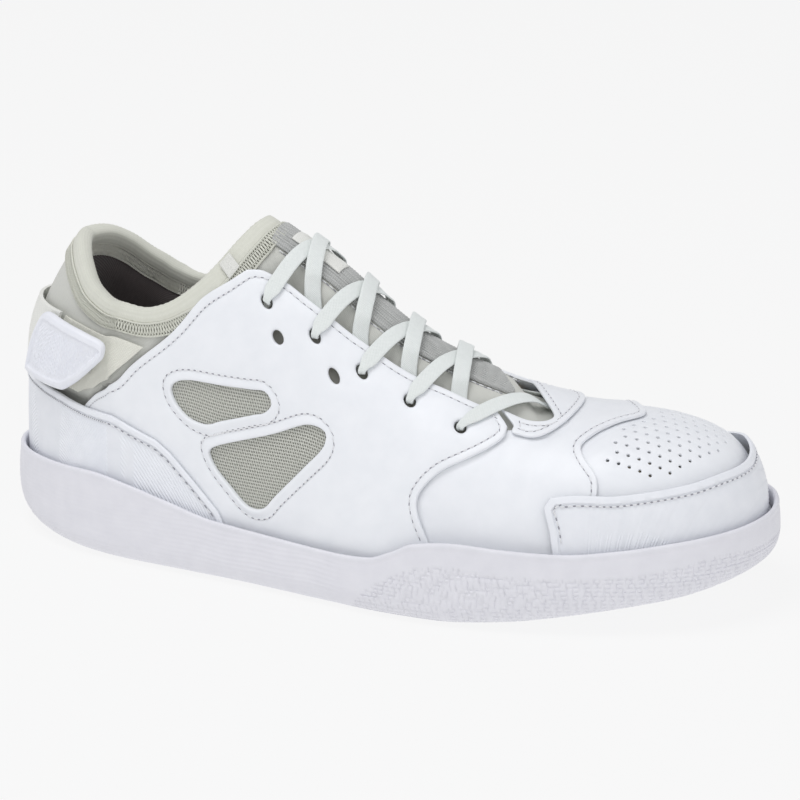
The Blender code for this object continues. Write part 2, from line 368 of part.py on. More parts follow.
for tag, m in (('lateral', -1), ('medial', 1)):
    k = int(np.argmin(np.hypot(*(TOPLINE - side(m, [(90, -30)])[0]).T))); c = TOPLINE[k]; n = offset(TOPLINE, 1)[k] - c; u = np.array([-n[1], n[0]])
    panel('anchor_loop_' + tag, [c + n * .9 - u * 3.6, c + n * 5.6 - u * 3.6, c + n * 5.6 + u * 3.6, c + n * .9 + u * 3.6], lambda X, Y: bootie_out(X, Y) + 1.7, lambda X, Y: bootie_out(X, Y) + 1.0, edge=5)

# ---------------------------------------------------------------- the lace, one flat cord along its whole route
def lace_nodes():
    """(X, Y, height, width, thickness) along the pattern, outer end first"""
    def eye(i, s): c = EYELETS[i]; return np.array(side(s, [c])[0])
    def strand(a, b, hi):
        """from the outside of eyelet a over the tongue and under the far eyestay to eyelet b"""
        out = []
        d = b - a; L = np.linalg.norm(d); u = d / L
        def P(s): return a + u * s
        ys = lambda s: float(fold(*P(s)))
        out += [(a, .1, 2.7, 1.3), (P(1.8), 1.05, 3.4, 1.1), (P(5), 1.0, 5.6, .9)]
        for s in np.arange(9, L - 1, 3.0):
            y = ys(s); far = s > L / 2
            if not far: t = 1.0 + (hi - 1.0) * step(20, 9, y)
            elif y < 13: t = max(float(bootie_out(*P(s))) + 2.7, hi - (hi - 1.5) * float(step(6, 13, y)))
            else: t = max(-3.75, float(bootie_out(*P(s))) + 1.75)
            if s < L - 5: out.append((P(s), float(t), LACE_WIDTH, LACE_THICK))
        out += [(P(L - 4.5), -3.75, 5.2, .85), (P(L - 1.8), -3.7, 3.2, .9), (b, -2.3, 2.7, 1.3)]
        return out
    return eye, strand
eye, strand = lace_nodes()
A = []
tail = lambda s: [(eye(0, s) + [-5, 8 * s], -3.75, 5.0, .85), (eye(0, s) + [-2.8, 4.5 * s], -3.75, 4.6, .85), (eye(0, s) + [-1.1, 1.8 * s], -3.7, 3.2, .9), (eye(0, s), -2.3, 2.7, 1.3)]
A += tail(-1)
seq = [(0, -1), (1, 1), (2, -1), (3, 1), (4, -1)]
for (i, s), (j, q) in zip(seq[:-1], seq[1:]): A += strand(eye(i, s), eye(j, q), 1.95 if s < 0 else 3.25)
a = eye(4, -1); e1 = np.array([203., -.5])
bar = [(a, .1, 2.7, 1.3)] + [(a + (e1 - a) * k, h, w, .85) for k, h, w in ((.06, 1.05, 3.4), (.18, 1.0, 5.4), (.36, 1.0, 5.8), (.55, 1.1, 5.8), (.68, .9, 5.8), (.8, .1, 5.8), (.9, -1.6, 5.4))]
bar += [(e1 + p, -3.9, 5.0, .85) for p in ((.3, .6), (2.2, 4), (2., 9), (-1.5, 15), (-7, 20.5), (-13, 24.5))]
B = []
seq = [(0, 1), (1, -1), (2, 1), (3, -1), (4, 1)]
B += tail(1)
for (i, s), (j, q) in zip(seq[:-1], seq[1:]): B += strand(eye(i, s), eye(j, q), 1.95 if s < 0 else 3.25)
B = B[:-2]                                    # the last strand stays under the medial eyestay and joins the bar
nodes = A + bar + B[::-1]

def ribbon(name, nodes, sub=1):
    XYt = np.array([[*n[0], n[1], n[2], n[3]] for n in nodes], float)
    C = wrap(XYt[:, :2], XYt[:, 2]); Q = spline(np.c_[C, XYt[:, 2:]], sub, closed=False); C = Q[:, :3]
    tan = np.gradient(C, axis=0); tan /= np.linalg.norm(tan, axis=1)[:, None]
    nrm = np.zeros_like(C); flatXY = spline(XYt[:, :2], sub, closed=False); e = 1.5
    S0 = np.cross(surf(flatXY[:, 0] + e, flatXY[:, 1]) - surf(flatXY[:, 0] - e, flatXY[:, 1]), surf(flatXY[:, 0], flatXY[:, 1] + e) - surf(flatXY[:, 0], flatXY[:, 1] - e))
    S0 /= np.linalg.norm(S0, axis=1)[:, None]
    lay = spline(wrap(XYt[:, :2], 0.), sub, closed=False); lt = np.gradient(lay, axis=0)
    wd = np.cross(S0, lt); w2 = np.linalg.norm(wd, axis=1)
    for i in range(len(wd)):                                    # width direction: carried along where the path turns back
        if w2[i] < 1e-3: wd[i] = wd[i - 1]
        if i and np.dot(wd[i], wd[i - 1]) < 0: wd[i] = -wd[i]
    for _ in range(3): wd[1:-1] = (wd[:-2] + 2 * wd[1:-1] + wd[2:]) / 4
    wd -= tan * (wd * tan).sum(1)[:, None]; wd /= np.linalg.norm(wd, axis=1)[:, None]
    th = np.cross(tan, wd); W, Hh = Q[:, 4:5] / 2, Q[:, 5:6] / 2
    R = [C + wd * W + th * Hh, C - wd * W + th * Hh, C - wd * W - th * Hh, C + wd * W - th * Hh]
    n = len(C); V = np.stack(R, 1).reshape(-1, 3); F = []
    for i in range(n - 1):
        for k in range(4):
            a, b, c, d = 4 * i + k, 4 * i + (k + 1) % 4, 4 * i + 4 + (k + 1) % 4, 4 * i + 4 + k; F += [(a, b, c), (a, c, d)]
    F += [(0, 2, 1), (0, 3, 2)]; m = 4 * (n - 1); F += [(m, m + 1, m + 2), (m, m + 2, m + 3)]
    solid(name, V, F)
    return np.linalg.norm(np.diff(C, axis=0), axis=1).sum()
print('lace length mm', round(ribbon('lace', nodes)))
for tag, s in (('lateral', -1), ('medial', 1)):
    e0 = eye(0, s); ribbon('aglet_' + tag, [(e0 + np.array([-5.4, s * 8.6]) + np.array([-5, s * 8]) * k, -3.55, w, .8) for k, w in ((0, 4.4), (.5, 4.4), (1.1, 4.2), (1.4, 3.4))], 1)
a0, a1 = wrap(sz(HINGE[:1]), 4.6)[0], wrap(sz(HINGE[1:]), 4.6)[0]     # inside the moulded edge
print('tab hinge', np.round(a0 - ORIGIN, 2), np.round(a1 - ORIGIN, 2), 'axis', np.round((a1 - a0) / np.linalg.norm(a1 - a0), 4), 'foot', np.round(a0, 2), 'origin', np.round(ORIGIN, 2))
tot = 0
for o in bpy.data.objects:
    if o.type == 'MESH': tot += len(o.data.polygons)
print('objects', len(bpy.data.objects), 'triangles', tot)
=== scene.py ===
# %% [markdown]
# # A white cheer shoe, piece by piece
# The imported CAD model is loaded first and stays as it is. Each visible part of the shoe is then
# built again as a finer mesh in the same place: leather panels with rolled edges and stitches,
# knits and webbing with real ribs, a woven lace, and a moulded rubber cup under it all.

# %% Load the frame
from math import pi, radians, sin, cos
import bpy
import numpy as np
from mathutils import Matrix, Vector
from mathutils.geometry import delaunay_2d_cdt


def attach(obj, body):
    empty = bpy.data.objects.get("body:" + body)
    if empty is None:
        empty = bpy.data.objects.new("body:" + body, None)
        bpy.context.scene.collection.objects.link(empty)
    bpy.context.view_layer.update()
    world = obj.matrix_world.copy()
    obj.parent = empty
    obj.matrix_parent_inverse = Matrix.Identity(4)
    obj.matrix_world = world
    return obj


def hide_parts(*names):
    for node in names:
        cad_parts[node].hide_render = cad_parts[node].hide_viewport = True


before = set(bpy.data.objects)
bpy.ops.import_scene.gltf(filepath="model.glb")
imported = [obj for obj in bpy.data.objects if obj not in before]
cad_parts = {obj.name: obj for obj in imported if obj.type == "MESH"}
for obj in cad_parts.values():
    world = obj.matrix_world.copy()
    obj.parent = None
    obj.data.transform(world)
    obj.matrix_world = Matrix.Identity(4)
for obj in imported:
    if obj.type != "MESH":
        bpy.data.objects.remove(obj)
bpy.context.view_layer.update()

# %% [markdown]
# ## Curves
# A shoe pattern is drawn with a few points and a smooth line through them. Blender's own curves
# would do, but the points are needed as plain numbers, so a Catmull-Rom spline is written out here.

# %% Smooth lines through points
def spline(P, n=8, closed=True):
    P = np.asarray(P, float); N = len(P); out = []
    for i in range(N if closed else N - 1):
        p1, p2 = P[i], P[(i + 1) % N]
        p0 = P[i - 1] if closed or i else 2 * p1 - p2
        p3 = P[(i + 2) % N] if closed or i + 2 < N else 2 * p2 - p1
        t1 = max(np.linalg.norm(p1 - p0), 1e-3) ** .5; t2 = t1 + max(np.linalg.norm(p2 - p1), 1e-3) ** .5
        t3 = t2 + max(np.linalg.norm(p3 - p2), 1e-3) ** .5
        for k in range(n):
            t = t1 + (t2 - t1) * k / n
            a1 = (t1 - t) / t1 * p0 + t / t1 * p1
            a2 = (t2 - t) / (t2 - t1) * p1 + (t - t1) / (t2 - t1) * p2
            a3 = (t3 - t) / (t3 - t2) * p2 + (t - t2) / (t3 - t2) * p3
            b1 = (t2 - t) / t2 * a1 + t / t2 * a2
            b2 = (t3 - t) / (t3 - t1) * a2 + (t - t1) / (t3 - t1) * a3
            out.append((t2 - t) / (t2 - t1) * b1 + (t - t1) / (t2 - t1) * b2)
    if not closed: out.append(P[-1])
    return np.array(out)

def curve(pts):
    P = np.asarray(pts, float); x, y = P[:, 0], P[:, 1]; d = np.diff(y) / np.diff(x)
    m = np.zeros(len(x)); m[0], m[-1] = d[0], d[-1]
    for i in range(1, len(x) - 1):
        if d[i - 1] * d[i] > 0:
            h0, h1 = x[i] - x[i - 1], x[i + 1] - x[i]
            m[i] = 3 * (h0 + h1) / ((2 * h1 + h0) / d[i - 1] + (h1 + 2 * h0) / d[i])
    def f(v):
        v = np.clip(np.asarray(v, float), x[0], x[-1])
        i = np.clip(np.searchsorted(x, v) - 1, 0, len(x) - 2); h = x[i + 1] - x[i]; t = (v - x[i]) / h
        return ((1 + 2 * t) * (1 - t) ** 2 * y[i] + t * (1 - t) ** 2 * h * m[i]
                + t * t * (3 - 2 * t) * y[i + 1] + t * t * (t - 1) * h * m[i + 1])
    return f

def step(a, b, x):
    t = np.clip((np.asarray(x, float) - a) / (b - a), 0, 1); return t * t * (3 - 2 * t)

# %% Outlines: move sideways, space evenly, measure distance
def normals2d(P, closed=True):
    t = np.roll(P, -1, 0) - np.roll(P, 1, 0) if closed else np.gradient(P, axis=0)
    n = np.stack([t[:, 1], -t[:, 0]], -1); return n / np.maximum(np.linalg.norm(n, axis=1), 1e-9)[:, None]
def offset(P, o):
    P = np.asarray(P, float); x, y = P[:, 0], P[:, 1]; A = (x * np.roll(y, -1) - y * np.roll(x, -1)).sum()
    return P + normals2d(P) * (o if A > 0 else -o)
def resample(P, h, closed=True):
    P = np.asarray(P, float); Q = np.vstack([P, P[:1]]) if closed else P
    s = np.concatenate([[0], np.cumsum(np.linalg.norm(np.diff(Q, axis=0), axis=1))])
    n = max(6 if closed else 2, int(round(s[-1] / h)))
    t = np.linspace(0, s[-1], n + 1)[:n] if closed else np.linspace(0, s[-1], n + 1)
    return np.stack([np.interp(t, s, Q[:, k]) for k in range(Q.shape[1])], -1)
def inside(P, x, y):
    P = np.asarray(P); x = np.asarray(x); y = np.asarray(y); r = np.zeros(x.shape, bool); j = len(P) - 1
    for i in range(len(P)):
        xi, yi, xj, yj = *P[i], *P[j]
        r ^= ((yi > y) != (yj > y)) & (x < (xj - xi) * (y - yi) / (yj - yi + 1e-12) + xi); j = i
    return r
def near(loops, x, y, closed=True):
    """distance of each point to the nearest of these lines"""
    A = np.vstack([np.asarray(L) if closed else np.asarray(L)[:-1] for L in loops])
    B = np.vstack([np.roll(L, -1, 0) if closed else np.asarray(L)[1:] for L in loops]); e = (B - A)[None]; out = []
    for k in range(0, len(x), 4000):
        p = np.stack([x[k:k + 4000], y[k:k + 4000]], -1)[:, None]
        t = np.clip(((p - A[None]) * e).sum(-1) / ((e ** 2).sum(-1) + 1e-12), 0, 1)
        out.append(np.linalg.norm(p - A[None] - e * t[..., None], axis=-1).min(1))
    return np.concatenate(out) if out else np.zeros(0)

# %% [markdown]
# ## The last
# Shoemakers pull every part of the upper over one solid foot shape, the last. Here it is a formula:
# a sole outline, a height along the ridge, and a rounded section at each place. Patterns are drawn
# on a flat sheet and `wrap` lays a pattern point on the last, at a height in millimetres over it,
# so neighbouring layers never need fitting to each other. All numbers here are millimetres.

# %% The last's outline and heights
SOLE = spline([(-3, 0), (2, -14), (14, -27), (32, -36.5), (55, -41), (80, -43.5), (105, -46), (135, -50.5),
  (162, -54), (190, -53.5), (212, -50), (232, -44), (250, -36.5), (266, -26), (278, -11), (283, 6),
  (281, 23), (273, 38), (257, 47.5), (235, 51.5), (208, 51), (180, 47), (150, 42), (120, 38), (90, 36.5),
  (60, 38.5), (35, 37), (14, 28.5), (2, 15)])
FEATHER = offset(SOLE, -5.0)
HX, TX = 50., 230.
SPY = curve([(0, -.5), (50, -.5), (100, -3), (150, -4), (190, -1), (230, 7), (285, 7.01)])
RIDGE = curve([(0, 127), (15, 130), (35, 139), (50, 146), (75, 139), (96, 125.5), (110, 117.5), (127, 107.5), (141, 96.5),
  (157, 86), (174, 78.5), (189, 73), (203, 69), (218, 66.5), (235, 65.5), (285, 64)])
BASE = curve([(0, 18), (30, 14), (55, 13), (180, 12), (205, 14), (230, 17), (250, 20), (285, 26)])
EN = curve([(0, 2.6), (35, 2.5), (60, 2.1), (150, 2.0), (200, 2.3), (235, 2.8), (285, 3.1)])
EM = curve([(0, 2.9), (35, 2.6), (60, 1.85), (150, 1.8), (200, 2.1), (235, 2.6), (285, 2.9)])
GROUND = curve([(-3, 10), (8, 5), (30, 1.5), (55, 0), (180, 0), (205, 2), (225, 5), (245, 8.5), (265, 12), (285, 17)])
RIM = curve([(-3, 30.5), (20, 32), (42, 32.5), (60, 30), (76, 26.5), (95, 22.5), (120, 21), (145, 20.2), (157, 21),
  (166, 24.5), (174, 28.5), (190, 30.5), (205, 29.8), (225, 29.2), (243, 30.8), (260, 33), (275, 34.5), (290, 36)])
_c = resample(SOLE, 10)
ORIGIN = np.array([(_c[:, 0].min() + _c[:, 0].max()) / 2, (_c[:, 1].min() + _c[:, 1].max()) / 2, 0.])
print("pattern origin in the frame, mm", ORIGIN.round(2))

# %% The last as a table of arcs
def fan(cx, cy):
    d = FEATHER - np.array([cx, cy]); a = np.arctan2(d[:, 1], d[:, 0]); o = np.argsort(a)
    return a[o], np.hypot(d[:, 0], d[:, 1])[o]
FT, FH = fan(TX, SPY(TX)), fan(HX, SPY(HX))
def reach(F, a): return np.interp((a + pi) % (2 * pi) - pi, F[0], F[1], period=2 * pi)
lat = FEATHER[FEATHER[:, 1] < -8]; lat = lat[np.argsort(lat[:, 0])]
med = FEATHER[FEATHER[:, 1] > 20]; med = med[np.argsort(med[:, 0])]
NF, NS = 60, 180
rows = np.array([(HX, -pi + pi / 2 * k / NF) for k in range(NF)] + [(HX + (TX - HX) * k / NS, -pi / 2) for k in range(NS)]
  + [(TX, -pi / 2 + pi * k / (2 * NF)) for k in range(2 * NF)] + [(TX - (TX - HX) * k / NS, pi / 2) for k in range(NS)]
  + [(HX, pi / 2 + pi / 2 * k / NF) for k in range(NF)])
NR = len(rows); sx, sa = rows[:, 0], rows[:, 1]; sy = SPY(sx)
D = np.where(sx >= TX - 1e-9, reach(FT, sa), np.where(sx <= HX + 1e-9, reach(FH, sa),
    np.where(sa < 0, sy - np.interp(sx, lat[:, 0], lat[:, 1]), np.interp(sx, med[:, 0], med[:, 1]) - sy)))
rho = np.sin(np.linspace(0, 1, 220) * pi / 2)
PX = sx[:, None] + rho * D[:, None] * np.cos(sa)[:, None]; PY = sy[:, None] + rho * D[:, None] * np.sin(sa)[:, None]
ZB = BASE(sx + D * np.cos(sa))[:, None]
PZ = ZB + (RIDGE(PX) - ZB) * (1 - rho ** EN(PX)) ** (1 / EM(PX))
ARC = np.concatenate([np.zeros((NR, 1)), np.cumsum(np.sqrt(np.diff(PX) ** 2 + np.diff(PY) ** 2 + np.diff(PZ) ** 2), 1)], 1)
GMAX = ARC[:, -1]; NG = int(GMAX.max()) + 14
T = np.zeros((NR, NG, 3))
for i in range(NR):
    for c, A in enumerate((PX, PY, PZ)): T[i, :, c] = np.interp(np.arange(NG), ARC[i], A[i])
    T[i, :, 2] -= np.maximum(np.arange(NG) - GMAX[i], 0)
T[..., 0] += 8 * step(70, 115, T[..., 2]) * step(85, 35, T[..., 0])     # the back of the collar leans forward
print("rows round the last", NR, "longest girth", round(GMAX.max(), 1), "mm")

# %% From the flat pattern to the last
def row_of(X, Y):
    at, ah = np.arctan2(Y - SPY(TX), X - TX), np.arctan2(Y - SPY(HX), X - HX); yy = Y - SPY(np.clip(X, HX, TX))
    r = np.where(X > TX, NF + NS + (at + pi / 2) / pi * 2 * NF,
        np.where(X < HX, np.where(ah < 0, (ah + pi) / (pi / 2) * NF, 3 * NF + 2 * NS + (ah - pi / 2) / (pi / 2) * NF),
        np.where(yy < 0, NF + (X - HX), 3 * NF + NS + (TX - X))))
    g = np.where(X > TX, np.hypot(X - TX, Y - SPY(TX)), np.where(X < HX, np.hypot(X - HX, Y - SPY(HX)), abs(yy)))
    return r % NR, g
def flat(r, g):
    i = np.floor(r).astype(int) % NR; f = r - np.floor(r)
    a = sa[i] + f * np.where((i < NF) | (i >= 3 * NF + 2 * NS) | ((i >= NF + NS) & (i < 3 * NF + NS)), pi / 2 / NF, 0)
    x = sx[i] + f * np.where((i >= NF) & (i < NF + NS), 1., np.where((i >= 3 * NF + NS) & (i < 3 * NF + 2 * NS), -1., 0.))
    return np.stack([x + g * np.cos(a), SPY(x) + g * np.sin(a)], -1)
def surf(X, Y):
    r, g = row_of(X, Y); i = np.floor(r).astype(int) % NR; k = (i + 1) % NR; f = (r - np.floor(r))[..., None]
    j = np.clip(g.astype(int), 0, NG - 2); h = (g - j)[..., None]
    return (T[i, j] * (1 - f) + T[k, j] * f) * (1 - h) + (T[i, j + 1] * (1 - f) + T[k, j + 1] * f) * h
def wrap(XY, t):
    X, Y = XY[..., 0], XY[..., 1]; e = 1.5
    n = np.cross(surf(X + e, Y) - surf(X - e, Y), surf(X, Y + e) - surf(X, Y - e))
    n /= np.linalg.norm(n, axis=-1)[..., None]
    return surf(X, Y) + n * np.broadcast_to(t, X.shape)[..., None]
def at_z(r, z):
    r = np.asarray(r, float); out = []
    for rr, zz in zip(r.ravel(), np.broadcast_to(z, r.shape).ravel()):
        i = int(np.floor(rr)) % NR; k = (i + 1) % NR; f = rr - np.floor(rr)
        out.append(np.interp(-zz, -PZ[i], ARC[i]) * (1 - f) + np.interp(-zz, -PZ[k], ARC[k]) * f)
    return flat(r, np.array(out).reshape(r.shape))

# %% Words for places on the last
def hem(r0, r1, up=3.5, h=4):
    n = max(2, int(abs(r1 - r0) / h * .8) + 1); r = np.linspace(r0, r1, n); i = np.round(r).astype(int) % NR
    return flat(r, GMAX[i] - up)
def side(m, P):
    P = np.array(P, float)
    if m > 0: P[:, 1] = 2 * SPY(np.clip(P[:, 0], HX, TX)) - P[:, 1]
    return P
def heel(deg): return NF * (180 - abs(deg)) / 90. if deg < 0 else NR - NF * (180 - deg) / 90.
def latx(x): return NF + (x - HX)
def medx(x): return 3 * NF + NS + (TX - x)
def sz(pts):
    out = []
    for (r0, z0), (r1, z1) in zip(pts[:-1], pts[1:]):
        n = max(1, int(abs(r1 - r0) / 2))
        out += [(r0 + (r1 - r0) * k / n, z0 + (z1 - z0) * k / n) for k in range(n)]
    out.append(pts[-1]); return at_z([r for r, z in out], [z for r, z in out])
def both(pts): return sz([(-r, z) for r, z in pts[::-1]] + list(pts))
def ring(c, r, n=20):
    a = np.arange(n) * 2 * pi / n; return np.stack([c[0] + r * np.cos(a), c[1] + r * np.sin(a)], -1)
SIDES = (("lateral", -1), ("medial", 1))

# %% Heights of the layers over the last
def fold(X, Y): return abs(Y - SPY(np.clip(X, HX, TX)))
def behind(X, Y): return np.interp(fold(X, Y), [20, 32, 44, 62, 81, 93.8, 97, 99], [104, 94, 85, 75, 59, 50, 31, 12]) - X
def zmm(X, Y): return surf(X, Y)[..., 2]
def bootie_out(X, Y):
    y = fold(X, Y); z = zmm(X, Y)
    t = -5.2 + 3.3 * step(-8, 1, behind(X, Y))
    t = t + 1.1 * step(14, 26, behind(X, Y)) * step(55, 62, z)
    t = np.where(X < 75, np.minimum(t, -4.6 + 3.8 * step(52, 62, z)), t)
    throat = step(21, 10, y) * step(92, 104, X) * step(209, 200, X + .64 * (Y + 14))
    return np.maximum(t, -5.2 + 4.0 * throat) - .5 * step(222, 236, X)
def rib_base(X, Y): return bootie_out(X, Y) + .8
def vamp_top(X, Y): return -1.7 + 1.3 * step(212, 236, X)

# %% [markdown]
# ## Camera, light and floor
# The shoe is shown from its outer side, from about nineteen degrees above the ground. A long lens keeps the
# proportions true. White leather looks best in a bright room with a soft lamp on one side, so that every
# edge and stitch still throws a faint shadow; the floor is as pale as the room.

# %% Camera
def linear(hexa):
    c = [int(hexa[i:i + 2], 16) / 255 for i in (1, 3, 5)]
    return tuple(v / 12.92 if v <= .04045 else ((v + .055) / 1.055) ** 2.4 for v in c) + (1.,)
look = (Vector((142.5, 0, 40)) - Vector(ORIGIN)) * .001
az, el, far = radians(22.6), radians(19), 1.1
back = Vector((sin(az) * cos(el), -cos(az) * cos(el), sin(el)))
camera = bpy.data.objects.new("camera", bpy.data.cameras.new("camera"))
bpy.context.scene.collection.objects.link(camera); bpy.context.scene.camera = camera
camera.location = look + back * far
camera.rotation_mode = "QUATERNION"; camera.rotation_quaternion = (-back).to_track_quat("-Z", "Y")
camera.data.sensor_width, camera.data.lens = 36, 36 * 3102 / 800
camera.data.shift_x, camera.data.shift_y = .0175, .0662
camera.data.clip_end = 50
bpy.context.scene.view_settings.view_transform = "Standard"
print("camera", [round(v, 3) for v in camera.location])

# %% Light
def lamp(name, place, aim, size, power):
    d = bpy.data.lights.new(name, "AREA"); d.size = size; d.energy = power
    o = bpy.data.objects.new(name, d); bpy.context.scene.collection.objects.link(o)
    o.location = place; o.rotation_euler = (Vector(aim) - Vector(place)).to_track_quat("-Z", "Y").to_euler()
room = bpy.data.worlds.new("room"); bpy.context.scene.world = room; room.use_nodes = True
room.node_tree.nodes["Background"].inputs[0].default_value = linear("#FBFBFD")
room.node_tree.nodes["Background"].inputs[1].default_value = .62
lamp("soft_overhead", (-.3, -.5, 1.6), (0, 0, 0), .9, 9.5)
lamp("soft_front", (1.2, -1.3, .9), (.05, 0, .03), .9, 4)

# %% Floor
def add(tree, kind, inputs=(), **settings):
    n = tree.nodes.new(kind)
    for k, v in settings.items(): setattr(n, k, v)
    for k, v in dict(inputs).items():
        s = n.inputs[k]
        if isinstance(v, bpy.types.NodeSocket): tree.links.new(v, s)
        else: s.default_value = v
    return n
def new_material(name):
    m = bpy.data.materials.new(name); m.use_nodes = True; t = m.node_tree; t.nodes.clear()
    return m, t, add(t, "ShaderNodeOutputMaterial")
floor_paint, t, out = new_material("matt_floor_paint")
pale = add(t, "ShaderNodeBsdfDiffuse", {"Color": linear("#F4F4F4")})
glow = add(t, "ShaderNodeEmission", {"Color": linear("#F7F7F7"), "Strength": 1.02})
mix = add(t, "ShaderNodeMixShader", {0: .88, 1: pale.outputs[0], 2: glow.outputs[0]})
t.links.new(mix.outputs[0], out.inputs[0])
fm = bpy.data.meshes.new("floor")
fm.from_pydata([(r * cos(a), r * sin(a), -.0002) for r in (9.,) for a in np.linspace(0, 2 * pi, 49)[:-1]], [],
        [tuple(range(48))])
floor = bpy.data.objects.new("floor", fm); bpy.context.scene.collection.objects.link(floor)
fm.materials.append(floor_paint)

# %% [markdown]
# ## One way to make every panel
# A leather part starts as a cut shape. `panel` fills the cut shape with small triangles, adds extra rings of
# points near each edge, lays it on the last and gives it a thickness. The rings let the edge roll over like
# cut and skived leather. Sculpting would also work, but cut shapes keep seams exactly where they belong.

# %% Fill a cut shape with triangles
def triangulate(loops, grid, rings, lattice):
    pts = []; edges = []
    for L in loops:
        b = len(pts); pts += [tuple(p) for p in L]; edges += [(b + i, b + (i + 1) % len(L)) for i in range(len(L))]
    def within(q):
        ok = inside(loops[0], q[:, 0], q[:, 1])
        for h in loops[1:]:
            lo, hi = h.min(0), h.max(0)
            box = (q[:, 0] > lo[0]) & (q[:, 0] < hi[0]) & (q[:, 1] > lo[1]) & (q[:, 1] < hi[1])
            if box.any(): ok[box] &= ~inside(h, q[box, 0], q[box, 1])
        return ok
    extra = [np.zeros((0, 2))]
    for k, L in enumerate(loops):
        for r in (rings[min(k, len(rings) - 1)] if rings and isinstance(rings[0], tuple) else rings):
            q = offset(L, -r if k == 0 else r); q = q[within(q)]
            if len(q): extra.append(q[near(loops, q[:, 0], q[:, 1]) > .92 * r])
    extra = np.vstack(extra)
    last = max(max(r) if isinstance(r, tuple) and r else (r or 0) for r in rings) if rings else 0
    if lattice is None:
        gx, gy = np.meshgrid(np.arange(-130, 340, grid), np.arange(-145, 150, grid * .866))
        gx = gx + (np.arange(gx.shape[0]) % 2)[:, None] * grid / 2
    else:
        a = lattice[1]; u, v = np.meshgrid(np.arange(-340, 340, lattice[0]), np.arange(-340, 340, lattice[0]))
        gx, gy = u * cos(a) - v * sin(a), u * sin(a) + v * cos(a)
    lo, hi = loops[0].min(0), loops[0].max(0); g = np.stack([gx.ravel(), gy.ravel()], -1)
    g = g[(g > lo).all(1) & (g < hi).all(1)]; g = g[within(g)]
    if len(g): g = g[near(loops, g[:, 0], g[:, 1]) > last + grid * .35]
    pts += [tuple(p) for p in extra] + [tuple(p) for p in g]
    r = delaunay_2d_cdt([Vector(p) for p in pts], edges, [], 0, 1e-5)
    P = np.array([tuple(v) for v in r[0]]); F = np.array([tuple(f) for f in r[2] if len(f) == 3])
    F = F[within(P[F].mean(1))]; used, inv = np.unique(F, return_inverse=True)
    return P[used], inv.reshape(F.shape)

# %% Put a mesh into the scene
def make(name, V, F, finish, body="shoe", stands_for=(), uv=None, sharp=42, field=None):
    V = np.asarray(V, float); F = [tuple(f) for f in (F.tolist() if isinstance(F, np.ndarray) else F)]
    c = V.mean(0)
    vol = sum(np.dot(V[f[0]] - c, np.cross(V[f[i]] - c, V[f[i + 1]] - c)) for f in F for i in range(1,
            len(f) - 1)) if len(F) < 3000 else None
    if vol is None:
        A = np.array([(f[0], f[1], f[2]) for f in F] + [(f[0], f[2], f[3]) for f in F if len(f) == 4])
        vol = np.einsum("ij,ij->i", V[A[:, 0]] - c, np.cross(V[A[:, 1]] - c, V[A[:, 2]] - c)).sum()
    if vol < 0: F = [f[::-1] for f in F]
    me = bpy.data.meshes.new(name); me.from_pydata(((V - ORIGIN) * .001).tolist(), [], F); me.update()
    me.shade_smooth(); me.set_sharp_from_angle(angle=radians(sharp))
    if uv is not None:
        li = np.zeros(len(me.loops), np.int32); me.loops.foreach_get("vertex_index", li)
        me.uv_layers.new(name="pattern").data.foreach_set("uv", (np.asarray(uv) * .001)[li].ravel().astype(np.float32))
    if field is not None: me.attributes.new("field", "FLOAT", "POINT").data.foreach_set("value", np.asarray(field, np.float32))
    ob = bpy.data.objects.new(name, me); bpy.context.scene.collection.objects.link(ob); me.materials.append(finish)
    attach(ob, body)
    if stands_for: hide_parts(*stands_for)
    print("%-26s %6d faces" % (name, len(F))); return ob

# %% A panel: top, underside and the cut edge between them
def panel(name, outline, top, thick, finish, holes=(), grid=2.6, edge=1.8, soft=.5, rings=(.1, .28, .5), relief=None,
        lattice=None, **more):
    loops = [resample(outline, edge)] + [np.asarray(h, float) for h in holes]
    P, F = triangulate(loops, grid, rings, lattice); x, y = P.T
    base = top(x, y) if callable(top) else np.full(len(P), float(top))
    d = near(loops, x, y); t = base - soft * (1 - np.sqrt(np.clip(1 - (1 - np.clip(d / soft, 0, 1)) ** 2, 0, 1)))
    if relief is not None: t = t + relief(x, y)
    n = len(P); E = np.vstack([F[:, [0, 1]], F[:, [1, 2]], F[:, [2, 0]]]); have = set(map(tuple, E))
    rim = [(a, b) for a, b in have if (b, a) not in have]
    faces = F.tolist() + (F[:, ::-1] + n).tolist() + [[b, a, a + n, b + n] for a, b in rim]
    return make(name, np.vstack([wrap(P, t), wrap(P, base - thick)]), faces, finish, uv=np.vstack([P, P]), **more)
